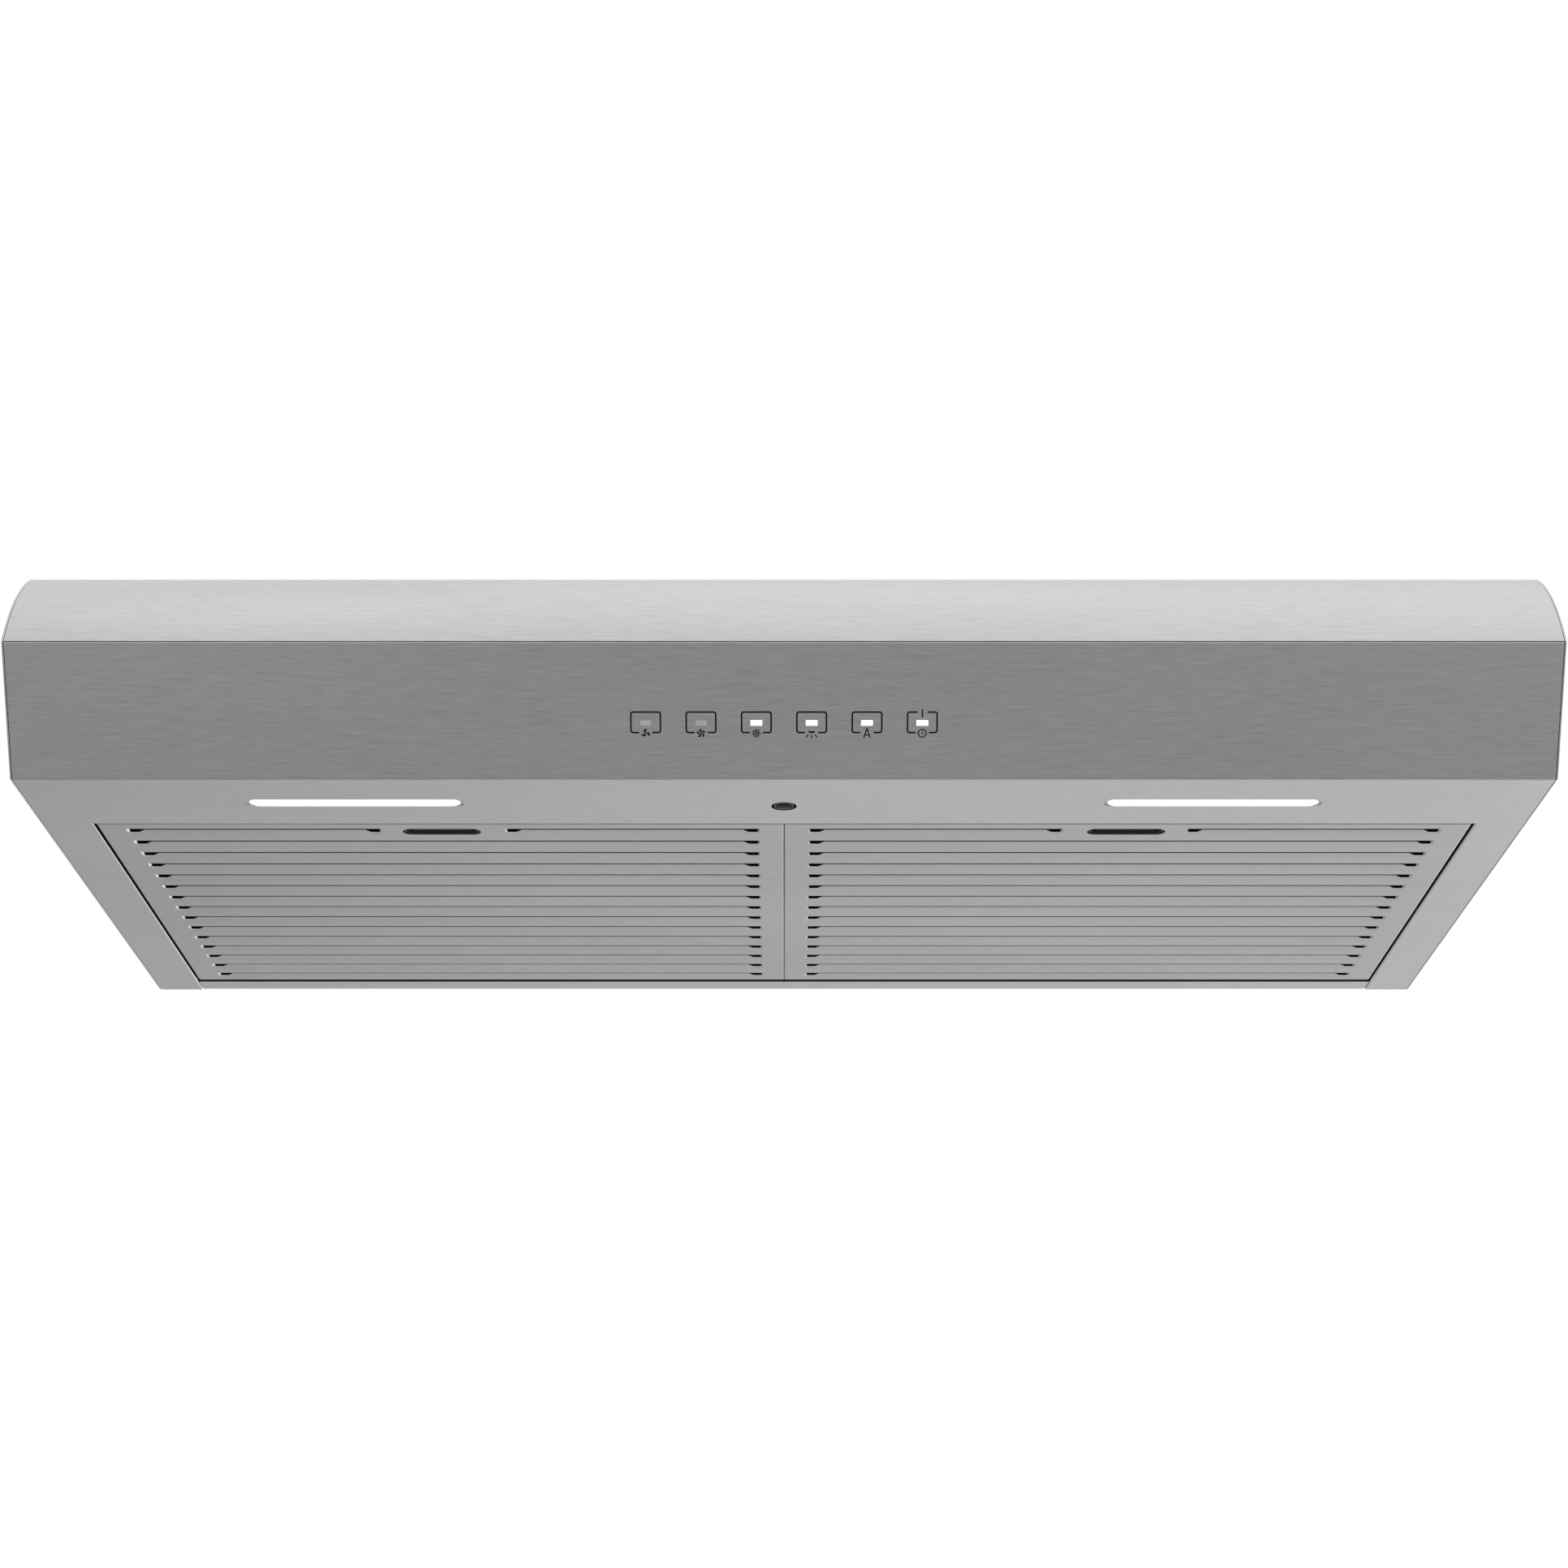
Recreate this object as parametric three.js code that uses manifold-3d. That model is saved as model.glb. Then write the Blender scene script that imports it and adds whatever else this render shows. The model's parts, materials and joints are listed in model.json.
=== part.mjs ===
// Under cabinet range hood, 36 inch class. Millimetres, +Z up, -Y towards the cook, +X to the right.
// The origin is the middle of the top panel's outer face, which is screwed up against the cabinet.
import * as THREE from 'three';
import { mergeVertices } from 'three/addons/utils/BufferGeometryUtils.js';
import Module from 'manifold-3d';

const wasm = await Module();
wasm.setup();

// ---- driving dimensions -------------------------------------------------------------------------
const WIDTH = 911; // over the side panels
const DEPTH = 500; // foremost edge to wall face
const HEIGHT = 130; // bottom surround to cabinet face
const GAP = 0.3; // clearance between neighbouring pieces
const SHEET = 1.2; // lower shell and side panels
const THIN = 1.0; // top, back and curved front panels
const FLANGE = 12; // turned-in edges of the front and top panels
const SEAM = 0.6; // between the curved front and the control face

const FRONT = -DEPTH / 2;
const BACK = DEPTH / 2;
const BOTTOM = -HEIGHT;
const HALF = WIDTH / 2;
const INNER_HALF = HALF - SHEET - GAP; // where sheets between the side panels end

// side profile, as (y, z): foremost edge A, foot of the control face B, top of the curve T
const EDGE_A = new THREE.Vector2(FRONT, BOTTOM + 69);
const FOOT_B = new THREE.Vector2(FRONT + 46.1, BOTTOM);
const TOP_T = new THREE.Vector2(FRONT + 50.4, 0);
const CURVE_R = 119.3;
const CURVE_STEPS = 16;

// opening in the bottom surround, and the two filters that close it
const OPENING_HALF = 423.9;
const OPENING_FRONT = FRONT + 126.8;
const LIP = 12; // height of the upturned edge round the opening
const RAIL_FRONT = FRONT + 481;
const RAIL_HALF = OPENING_HALF - 0.5;
const FILTER_OUT = 421.9;
const FILTER_IN = 0.35;
const FILTER_FRONT = FRONT + 127.3;
const FILTER_REAR = FRONT + 474;
const FILTER_SHEET = 0.8;
const RIM_TOP = BOTTOM + 10.5;
const BACK_FRAME_Z = RIM_TOP + GAP; // underside of the filter's back frame

// louvres
const LOUVRE_ROWS = 15;
const LOUVRE_FIRST = FRONT + 137.2;
const LOUVRE_PITCH = 22.87;
const LOUVRE_IN = 15.3;
const LOUVRE_OUT = 405.5;
const LOUVRE_SLIT = 3;
const LOUVRE_END = 6; // slot height at its two ends
const LOUVRE_END_FLAT = 6.5; // how much of each end is that high
const LOUVRE_END_SLOPE = 3.5; // and how far it then runs down to the slit
const LOUVRE_BREAK = [172, 249]; // where the first row stops for the finger slot

// finger slots and latches
const LATCH_X = 211.4;
const LATCH_Y = FRONT + 141.5;
const FINGER_LONG = 48.3;
const FINGER_WIDE = 11.1;
const LATCH_HALF = 30; // half the latch body's length
const TONGUE_HALF = 14;

// lights and sensor in the front of the surround
const LIGHT_X = 258;
const LIGHT_Y = FRONT + 88.1;
const LIGHT_LONG = 131;
const LIGHT_WIDE = 12.6;
const LENS_RECESS = 0.5; // how far the lit lens sits above the surround's face
const SENSOR_Y = FRONT + 93.7;
const SENSOR_R = 7.7;

// touch zones on the control face, measured up the face from its foot
const ZONE_PITCH = 32.4;
const ZONE_NAMES = ['speed_low', 'speed_medium', 'speed_high', 'light', 'auto', 'power_timer'];
const WINDOW_UP = 34.25;
const WINDOW_LONG = 6.8;
const WINDOW_TALL = 3.3;
const CARRIER_HALF = 100;
const CARRIER_UP = [16, 54];

// duct outlet for 3-1/4 x 10 inch rectangular duct
const DUCT_Y = 192;
const DUCT_LONG = 251;
const DUCT_WIDE = 80;
const DUCT_RIM = 38; // top of the collar above the cabinet face
const WELL_DEEP = 4; // recess in the top panel for the collar's flange
const COLLAR_SHEET = 1.2;
const COLLAR_SCREWS = [[-120, 146.5], [120, 146.5], [-120, 237.5], [120, 237.5]];
const FLAP_Z = 8;
const ROD_R = 1.5;
const FLAP_HINGE_Y = DUCT_Y + DUCT_WIDE / 2 - COLLAR_SHEET - 4;

// fixing to the cabinet, and the way in for the supply cable
const KEYHOLES = [[-330, -150], [330, -150], [-330, 205], [250, 205]];
const KEYHOLE_ROUND = 11;
const KEYHOLE_NECK = 6;
const KEYHOLE_RUN = 14;
const CLAMP_X = 370;
const CLAMP_Y = 190;
const CLAMP_R = 13;
const CLAMP_BORE = 8;

// blower: vertical axis, inlet below
const WHEEL_X = -45;
const WHEEL_Y = -25;
const WHEEL_R = 103;
const BLADES = 24;
const SCROLL_START_R = 112;
const SCROLL_END_R = 160;
const TONGUE_DEG = 65;
const CASE_TOP = -5.3;
const CASE_FOOT = -86;
const INLET_R = 86;
const CASE_WALL = 1;
const CASE_FEET = [[-150, -25], [-45, -150], [80, -80], [-45, 70]];
const INLET_SCREW_SHARES = [0.2, 0.5, 0.78]; // how far round the scroll each one is
const SCREW_HOLE_R = 2.1;
const MOTOR_R = 44;
const MOTOR_STUD_R = 50;
const MOTOR_STUD_DEG = [90, 210, 330];
const STUD_HOLE_R = 2.6;
const SHAFT_R = 4;
const HUB_FOOT = -66;

// ---- solids -------------------------------------------------------------------------------------
function solid(geometry) {
  const plain = geometry.index ? geometry.toNonIndexed() : geometry.clone();
  for (const name of Object.keys(plain.attributes)) {
    if (name !== 'position') plain.deleteAttribute(name);
  }
  const merged = mergeVertices(plain, 1e-4);
  return new wasm.Manifold(new wasm.Mesh({
    numProp: 3,
    vertProperties: new Float32Array(merged.attributes.position.array),
    triVerts: new Uint32Array(merged.index.array),
  }));
}

function geometryOf(manifold) {
  const mesh = manifold.getMesh();
  const geometry = new THREE.BufferGeometry();
  geometry.setAttribute('position', new THREE.BufferAttribute(new Float32Array(mesh.vertProperties), 3));
  geometry.setIndex(new THREE.BufferAttribute(new Uint32Array(mesh.triVerts), 1));
  geometry.computeVertexNormals();
  return geometry;
}

const joined = (first, ...others) => others.reduce((sum, next) => sum.add(next), first);
const cut = (body, ...tools) => tools.reduce((left, tool) => left.subtract(tool), body);

// a block between two x, two y and two z values
function block(x0, x1, y0, y1, z0, z1) {
  return solid(boxGeometry(x0, x1, y0, y1, z0, z1));
}

function boxGeometry(x0, x1, y0, y1, z0, z1) {
  const geometry = new THREE.BoxGeometry(x1 - x0, y1 - y0, z1 - z0);
  return geometry.translate((x0 + x1) / 2, (y0 + y1) / 2, (z0 + z1) / 2);
}

// an open-bottomed or open-topped tray: a block less a smaller block
function tray(outer, wall, openBelow) {
  const [x0, x1, y0, y1, z0, z1] = outer;
  const floor = openBelow ? [z0 - 1, z1 - wall] : [z0 + wall, z1 + 1];
  return cut(block(...outer), block(x0 + wall, x1 - wall, y0 + wall, y1 - wall, ...floor));
}

// a round bar along X, Y or Z from one value to another
function bar(axis, radius, from, to, u, v, sides = 16) {
  const geometry = new THREE.CylinderGeometry(radius, radius, to - from, sides);
  const middle = (from + to) / 2;
  if (axis === 'x') {
    geometry.rotateZ(Math.PI / 2);
    geometry.translate(middle, u, v);
  } else if (axis === 'y') {
    geometry.translate(u, middle, v);
  } else {
    geometry.rotateX(Math.PI / 2);
    geometry.translate(u, v, middle);
  }
  return solid(geometry);
}

// a flat outline in plan, between two heights
function plate(shape, z0, z1, curveSegments = 12) {
  const geometry = new THREE.ExtrudeGeometry(shape, { depth: z1 - z0, bevelEnabled: false, curveSegments });
  geometry.translate(0, 0, z0);
  return solid(geometry);
}

// an outline in the (y, z) plane, between two x values
function section(shape, x0, x1, curveSegments = 12) {
  const geometry = new THREE.ExtrudeGeometry(shape, { depth: x1 - x0, bevelEnabled: false, curveSegments });
  geometry.applyMatrix4(new THREE.Matrix4().makeBasis(
    new THREE.Vector3(0, 1, 0), new THREE.Vector3(0, 0, 1), new THREE.Vector3(1, 0, 0)));
  geometry.translate(x0, 0, 0);
  return solid(geometry);
}

// the outline of a folded sheet: a path and the same path moved to its left by the thickness
function folded(path, thickness) {
  const inside = path.map((point, i) => {
    const before = i > 0 ? point.clone().sub(path[i - 1]).normalize() : null;
    const after = i < path.length - 1 ? path[i + 1].clone().sub(point).normalize() : null;
    const a = before || after;
    const b = after || before;
    const leftA = new THREE.Vector2(-a.y, a.x);
    const leftB = new THREE.Vector2(-b.y, b.x);
    const mitre = leftA.clone().add(leftB).normalize();
    return point.clone().addScaledVector(mitre, thickness / mitre.dot(leftA));
  });
  return new THREE.Shape([...path, ...inside.reverse()]);
}

// a rounded slot, centred on x, y
function slot(length, width, x = 0, y = 0) {
  const r = width / 2;
  const straight = length / 2 - r;
  const shape = new THREE.Shape();
  shape.moveTo(x - straight, y - r);
  shape.lineTo(x + straight, y - r);
  shape.absarc(x + straight, y, r, -Math.PI / 2, Math.PI / 2, false);
  shape.lineTo(x - straight, y + r);
  shape.absarc(x - straight, y, r, Math.PI / 2, 1.5 * Math.PI, false);
  return shape;
}

// a turned piece about a vertical axis: points are (radius, z), and may run either way round
function turned(points, x, y, segments = 24) {
  const outline = points.map(([r, z]) => new THREE.Vector2(r, z));
  if (THREE.ShapeUtils.area(outline) < 0) outline.reverse();
  const geometry = new THREE.LatheGeometry(outline, segments);
  geometry.rotateX(Math.PI / 2);
  geometry.translate(x, y, 0);
  return solid(geometry);
}

// ---- materials ----------------------------------------------------------------------------------
const finish = (color, metalness, roughness) => (
  new THREE.MeshStandardMaterial({ color, metalness, roughness }));
const STEEL = finish(0xb9bab9, 1, 0.36);
const GALVANISED = finish(0xa9adb0, 1, 0.5);
const ALUMINIUM = finish(0xc4c6c8, 1, 0.45);
const BLACK = finish(0x1b1c1d, 0, 0.5);
const WHITE = finish(0xf3f4f2, 0, 0.35);
const LENS = finish(0xffffff, 0, 0.2);
const SMOKED = finish(0x0c0d10, 0, 0.15);
const BOARD = finish(0x1f5a3c, 0, 0.55);
const BRIGHT = finish(0xd4d6d8, 1, 0.3);

const hood = new THREE.Group();

function piece(name, material, body, parent = hood) {
  const mesh = new THREE.Mesh(geometryOf(body), material);
  mesh.name = name;
  parent.add(mesh);
  return mesh;
}

// the control face's own frame: x across, y up the face from its foot, z outwards
const FACE_UP = EDGE_A.clone().sub(FOOT_B).normalize();
const face = new THREE.Group();
face.position.set(0, FOOT_B.x, FOOT_B.y);
face.rotation.x = Math.atan2(FACE_UP.y, FACE_UP.x);
face.updateMatrix();
hood.add(face);

// a block given in the control face's frame, as a solid in the hood's frame
const faceBlock = (...sides) => solid(boxGeometry(...sides).applyMatrix4(face.matrix));

const zoneX = (zone) => (zone - (ZONE_NAMES.length - 1) / 2) * ZONE_PITCH;

// ---- outer casing -------------------------------------------------------------------------------
// centre of the front curve: CURVE_R from both A and T, on the inner side
function curveCentre() {
  const middle = EDGE_A.clone().add(TOP_T).multiplyScalar(0.5);
  const chord = TOP_T.clone().sub(EDGE_A);
  const rise = Math.sqrt(CURVE_R ** 2 - chord.lengthSq() / 4);
  const inward = new THREE.Vector2(chord.y, -chord.x).normalize();
  return middle.addScaledVector(inward, rise);
}

function curvePoints(from, to) {
  const centre = curveCentre();
  const a0 = Math.atan2(from.y - centre.y, from.x - centre.x);
  const a1 = Math.atan2(to.y - centre.y, to.x - centre.x);
  return Array.from({ length: CURVE_STEPS + 1 }, (_, i) => {
    const angle = a0 + ((a1 - a0) * i) / CURVE_STEPS;
    return new THREE.Vector2(centre.x + CURVE_R * Math.cos(angle), centre.y + CURVE_R * Math.sin(angle));
  });
}

function buildCasing() {
  // curved front: a flange down behind its top edge, the curve, and a flange back from its lower edge
  const lowEdge = EDGE_A.clone().add(new THREE.Vector2(0, SEAM));
  const front = [new THREE.Vector2(TOP_T.x, -FLANGE), ...curvePoints(TOP_T, lowEdge)];
  front.push(new THREE.Vector2(lowEdge.x + FLANGE, lowEdge.y));
  piece('front_panel', STEEL, section(folded(front, THIN), -INNER_HALF, INNER_HALF));

  // top panel: front flange, recessed duct seat, keyhole slots and a knock-out for the supply cable
  const wellHalf = DUCT_LONG / 2 + 16.5;
  const wellMargin = 11;
  const wellFront = DUCT_Y - DUCT_WIDE / 2 - wellMargin;
  const wellRear = DUCT_Y + DUCT_WIDE / 2 + wellMargin;
  const topFront = TOP_T.x + GAP;
  const well = tray([-wellHalf, wellHalf, wellFront, wellRear, -WELL_DEEP - THIN, 0], THIN, false);
  let top = block(-INNER_HALF, INNER_HALF, topFront, BACK - THIN - GAP, -THIN, 0);
  top = cut(top, block(-wellHalf + 0.5, wellHalf - 0.5, wellFront + 0.5, wellRear - 0.5, -THIN - 1, 1));
  top = joined(top, well, block(-INNER_HALF, INNER_HALF, topFront, topFront + THIN, -FLANGE, -THIN / 2));
  const ductHole = block(-DUCT_LONG / 2 + 2, DUCT_LONG / 2 - 2, DUCT_Y - DUCT_WIDE / 2 + 2,
    DUCT_Y + DUCT_WIDE / 2 - 2, -WELL_DEEP - 2, 1);
  const keyholes = KEYHOLES.flatMap(([x, y]) => [
    bar('z', KEYHOLE_ROUND / 2, -2, 1, x, y, 12),
    block(x - KEYHOLE_NECK / 2, x + KEYHOLE_NECK / 2, y, y + KEYHOLE_RUN, -2, 1),
  ]);
  const collarHoles = COLLAR_SCREWS.map(([x, y]) => bar('z', SCREW_HOLE_R, -WELL_DEEP - 2, 1, x, y, 8));
  piece('top_panel', GALVANISED,
    cut(top, ductHole, ...keyholes, ...collarHoles, bar('z', CLAMP_R + GAP, -2, 1, CLAMP_X, CLAMP_Y, 20)));

  piece('back_panel', GALVANISED, block(-INNER_HALF, INNER_HALF, BACK - THIN, BACK, BOTTOM + 1.8, 0));

  // side panels follow the whole profile
  const profile = new THREE.Shape([
    ...curvePoints(EDGE_A, TOP_T),
    new THREE.Vector2(BACK, 0),
    new THREE.Vector2(BACK, BOTTOM),
    FOOT_B,
  ]);
  piece('left_side_panel', STEEL, section(profile, -HALF, -HALF + SHEET));
  piece('right_side_panel', STEEL, section(profile, HALF - SHEET, HALF));

  // rear rail behind the filters, with an upturned front edge that carries the filters' rear tabs
  const rail = [
    new THREE.Vector2(RAIL_FRONT, BACK_FRAME_Z - 0.5),
    new THREE.Vector2(RAIL_FRONT, BOTTOM + 0.5),
    new THREE.Vector2(BACK - 0.4, BOTTOM + 0.5),
  ];
  piece('rear_rail', STEEL, section(folded(rail, THIN), -RAIL_HALF, RAIL_HALF));
}

// the lower shell is one folded sheet: a top flange, the slanted control face and the bottom surround
function buildLowerShell() {
  const front = folded([
    new THREE.Vector2(EDGE_A.x + 14, EDGE_A.y),
    EDGE_A,
    FOOT_B,
    new THREE.Vector2(OPENING_FRONT, BOTTOM),
    new THREE.Vector2(OPENING_FRONT, BOTTOM + LIP),
  ], SHEET);
  let shell = section(front, -INNER_HALF, INNER_HALF);
  for (const side of [-1, 1]) {
    const spread = (a, b) => (side > 0 ? [a, b] : [-b, -a]);
    shell = joined(shell,
      block(...spread(OPENING_HALF, INNER_HALF), OPENING_FRONT - 2, BACK, BOTTOM, BOTTOM + SHEET),
      block(...spread(OPENING_HALF, OPENING_HALF + SHEET), OPENING_FRONT - 1, BACK - 2,
        BOTTOM, BOTTOM + LIP));
    const recess = slot(LIGHT_LONG, LIGHT_WIDE, side * LIGHT_X, LIGHT_Y);
    shell = cut(shell, plate(recess, BOTTOM - 1, BOTTOM + 3, 6));
  }
  shell = cut(shell, bar('z', SENSOR_R, BOTTOM - 1, BOTTOM + 3, 0, SENSOR_Y, 24));
  for (let zone = 0; zone < ZONE_NAMES.length; zone += 1) {
    const x = zoneX(zone);
    const across = WINDOW_LONG / 2 + GAP;
    const up = WINDOW_TALL / 2 + GAP;
    shell = cut(shell, faceBlock(x - across, x + across, WINDOW_UP - up, WINDOW_UP + up, -3, 2));
  }
  piece('lower_shell', STEEL, shell);
}

// ---- controls, lights and sensor ----------------------------------------------------------------
function buildControls() {
  const behind = -SHEET - GAP; // just inside the control face
  const [low, high] = CARRIER_UP;
  // the carrier is a shallow frame: its floor is pierced where the light pipes pass
  let carrier = tray([-CARRIER_HALF, CARRIER_HALF, low, high, behind - 10, behind], 2, true);
  for (let zone = 0; zone < ZONE_NAMES.length; zone += 1) {
    const x = zoneX(zone);
    carrier = cut(carrier, block(x - 4, x + 4, WINDOW_UP - 2.2, WINDOW_UP + 2.2, behind - 3, behind + 1));
    const pipe = block(x - WINDOW_LONG / 2, x + WINDOW_LONG / 2, WINDOW_UP - WINDOW_TALL / 2,
      WINDOW_UP + WINDOW_TALL / 2, behind - 5.6, -0.05);
    piece(`${ZONE_NAMES[zone]}_light_pipe`, LENS, pipe, face);
  }
  piece('control_carrier', BLACK, carrier, face);
  piece('control_board', BOARD, block(-CARRIER_HALF + 3, CARRIER_HALF - 3, low + 3, high - 3,
    behind - 7.6, behind - 6), face);
}

function buildLights() {
  for (const [side, name] of [[-1, 'left'], [1, 'right']]) {
    const x = side * LIGHT_X;
    const inside = BOTTOM + SHEET + GAP;
    const lens = joined(
      plate(slot(LIGHT_LONG - 0.8, LIGHT_WIDE - 0.8, x, LIGHT_Y), BOTTOM + LENS_RECESS, inside + 1, 6),
      plate(slot(LIGHT_LONG + 6, LIGHT_WIDE + 6, x, LIGHT_Y), inside, inside + 2, 6));
    piece(`${name}_light_lens`, LENS, lens);
    const shell = [x - 74, x + 74, LIGHT_Y - 14, LIGHT_Y + 14, inside, inside + 16];
    piece(`${name}_light_housing`, WHITE, tray(shell, 1.6, true));
    piece(`${name}_led_board`, BOARD,
      block(x - 68, x + 68, LIGHT_Y - 9, LIGHT_Y + 9, inside + 12.4, inside + 14));
  }
}

function buildSensor() {
  const inside = BOTTOM + SHEET + GAP;
  const bore = SENSOR_R + 0.6;
  const outer = 12;
  const floor = inside + 12;
  piece('sensor_housing', BLACK, turned([
    [bore, inside], [outer, inside], [outer, floor + 2], [0, floor + 2], [0, floor], [bore, floor],
    [bore, inside],
  ], 0, SENSOR_Y, 20));
  const domeR = 6.6;
  const dome = Array.from({ length: 5 }, (_, i) => {
    const angle = (Math.PI / 2) * (i / 4);
    return [domeR * Math.sin(angle), inside + 0.5 + 6 * (1 - Math.cos(angle))];
  });
  piece('sensor_lens', SMOKED, turned([...dome, [domeR, floor - GAP], [0, floor - GAP]], 0, SENSOR_Y, 16));
}

// ---- duct collar and damper ---------------------------------------------------------------------
function screw(name, x, y, headTop, headHigh, headR, shankR, shankEnd) {
  const under = headTop - headHigh;
  piece(name, BRIGHT, turned([
    [0, headTop], [headR * 0.6, headTop], [headR, headTop - headHigh * 0.5], [headR, under], [shankR, under],
    [shankR, shankEnd], [0, shankEnd],
  ], x, y, 10));
}

function buildCollar() {
  const half = DUCT_LONG / 2;
  const deep = DUCT_WIDE / 2;
  const foot = -WELL_DEEP + GAP;
  const flangeTop = foot + COLLAR_SHEET;
  const endFlange = 12;
  const longFlange = 9;
  let collar = joined(
    block(-half - endFlange, half + endFlange, DUCT_Y - deep - longFlange, DUCT_Y + deep + longFlange,
      foot, flangeTop),
    block(-half, half, DUCT_Y - deep, DUCT_Y + deep, foot + 0.5, DUCT_RIM));
  collar = cut(collar, block(-half + COLLAR_SHEET, half - COLLAR_SHEET, DUCT_Y - deep + COLLAR_SHEET,
    DUCT_Y + deep - COLLAR_SHEET, foot - 1, DUCT_RIM + 1));
  // ledge on the front wall that the closed flap rests on
  collar = joined(collar, block(-half + 0.6, half - 0.6, DUCT_Y - deep + 0.6, DUCT_Y - deep + 5,
    FLAP_Z - 3, FLAP_Z - 1.8));
  collar = cut(collar, bar('x', ROD_R + GAP, -half - 1, half + 1, FLAP_HINGE_Y, FLAP_Z, 12),
    ...COLLAR_SCREWS.map(([x, y]) => bar('z', SCREW_HOLE_R, foot - 1, flangeTop + 1, x, y, 12)));
  piece('duct_collar', GALVANISED, collar);
  COLLAR_SCREWS.forEach(([x, y], i) => {
    screw(`collar_screw_${i + 1}`, x, y, flangeTop + 2, 1.7, 3.6, 1.8, -WELL_DEEP - 5);
  });

  // flap: a thin plate with a rolled edge round its rod
  const flapHalf = half - COLLAR_SHEET - 1.5;
  const flapFront = DUCT_Y - deep + COLLAR_SHEET + 1.2;
  const flap = cut(
    joined(
      block(-flapHalf, flapHalf, flapFront, FLAP_HINGE_Y, FLAP_Z - 0.5, FLAP_Z + 0.5),
      bar('x', ROD_R + GAP + 1, -flapHalf, flapHalf, FLAP_HINGE_Y, FLAP_Z, 12)),
    bar('x', ROD_R + GAP, -flapHalf - 1, flapHalf + 1, FLAP_HINGE_Y, FLAP_Z, 12));
  piece('damper_flap', ALUMINIUM, flap);
  piece('damper_rod', BRIGHT, bar('x', ROD_R, -half - 3, half + 3, FLAP_HINGE_Y, FLAP_Z, 12));
}

// ---- blower -------------------------------------------------------------------------------------
// a point on the scroll's wall, moved out by a margin, a share of the way from the tongue to the outlet
function scrollPoint(share, margin) {
  const angle = THREE.MathUtils.degToRad(TONGUE_DEG + (360 - TONGUE_DEG) * share);
  const radius = SCROLL_START_R + (SCROLL_END_R - SCROLL_START_R) * share + margin;
  return new THREE.Vector2(WHEEL_X + radius * Math.cos(angle), WHEEL_Y + radius * Math.sin(angle));
}

// plan of the scroll, grown by a margin: a spiral from the tongue round to the outlet, which runs
// straight back
function scrollShape(margin, rear) {
  const steps = 30;
  const points = Array.from({ length: steps + 1 }, (_, i) => scrollPoint(i / steps, margin));
  const tongue = points[0];
  points.push(new THREE.Vector2(WHEEL_X + SCROLL_END_R + margin, rear));
  points.push(new THREE.Vector2(tongue.x - margin * 0.6, rear));
  return new THREE.Shape(points);
}

// places of the inlet plate's screws and of the motor's studs
const INLET_SCREWS = INLET_SCREW_SHARES.map((share) => scrollPoint(share, 4.6).toArray());
const MOTOR_STUDS = MOTOR_STUD_DEG.map((degrees) => {
  const angle = THREE.MathUtils.degToRad(degrees);
  return [WHEEL_X + MOTOR_STUD_R * Math.cos(angle), WHEEL_Y + MOTOR_STUD_R * Math.sin(angle)];
});

function buildBlower() {
  buildHousing();
  buildInletPlate();
  buildMotor();
  buildWheel();
}

// scroll and outlet box, open below and at the top of the box, with feet that hang it under the top panel
const BOX_FRONT = DUCT_Y - DUCT_WIDE / 2 - 3;
const INLET_TOP = CASE_FOOT - GAP;

function buildHousing() {
  const boxHalf = DUCT_LONG / 2 + 1.5;
  const boxRear = DUCT_Y + DUCT_WIDE / 2 + 3;
  const outer = joined(
    plate(scrollShape(CASE_WALL, BOX_FRONT + 5), CASE_FOOT, CASE_TOP),
    block(-boxHalf, boxHalf, BOX_FRONT, boxRear, CASE_FOOT, CASE_TOP),
    ...CASE_FEET.map(([x, y]) => bar('z', 5, CASE_TOP - 0.5, -THIN - GAP, x, y, 8)),
    ...INLET_SCREWS.map(([x, y]) => bar('z', 4.5, CASE_FOOT, CASE_FOOT + 14, x, y, 8)));
  const hollow = joined(
    plate(scrollShape(0, BOX_FRONT + 6), CASE_FOOT - 1, CASE_TOP - CASE_WALL),
    block(-boxHalf + CASE_WALL, boxHalf - CASE_WALL, BOX_FRONT + CASE_WALL, boxRear - CASE_WALL,
      CASE_FOOT + CASE_WALL, CASE_TOP + 1));
  piece('blower_housing', GALVANISED, cut(outer, hollow,
    ...INLET_SCREWS.map(([x, y]) => bar('z', SCREW_HOLE_R, CASE_FOOT - 1, CASE_FOOT + 10, x, y, 8)),
    ...MOTOR_STUDS.map(([x, y]) => bar('z', STUD_HOLE_R, CASE_TOP - 3, CASE_TOP + 2, x, y, 8))));
}

// inlet plate with a short bell mouth, screwed under the scroll
function buildInletPlate() {
  const mouth = 8;
  piece('inlet_plate', GALVANISED, cut(
    joined(
      plate(scrollShape(8, BOX_FRONT - 3), INLET_TOP - CASE_WALL, INLET_TOP),
      bar('z', INLET_R + 1.2, INLET_TOP - 0.5, INLET_TOP + mouth, WHEEL_X, WHEEL_Y, 32)),
    bar('z', INLET_R, INLET_TOP - 3, INLET_TOP + mouth + 2, WHEEL_X, WHEEL_Y, 32),
    ...INLET_SCREWS.map(([x, y]) => bar('z', SCREW_HOLE_R, INLET_TOP - 3, INLET_TOP + 3, x, y, 8))));
  INLET_SCREWS.forEach(([x, y], i) => {
    const under = INLET_TOP - CASE_WALL - GAP;
    piece(`inlet_screw_${i + 1}`, BRIGHT, turned([
      [0, under - 2], [2, under - 2], [3.4, under - 1], [3.4, under], [1.8, under], [1.8, under + 7],
      [0, under + 7],
    ], x, y, 10));
  });
}

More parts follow.
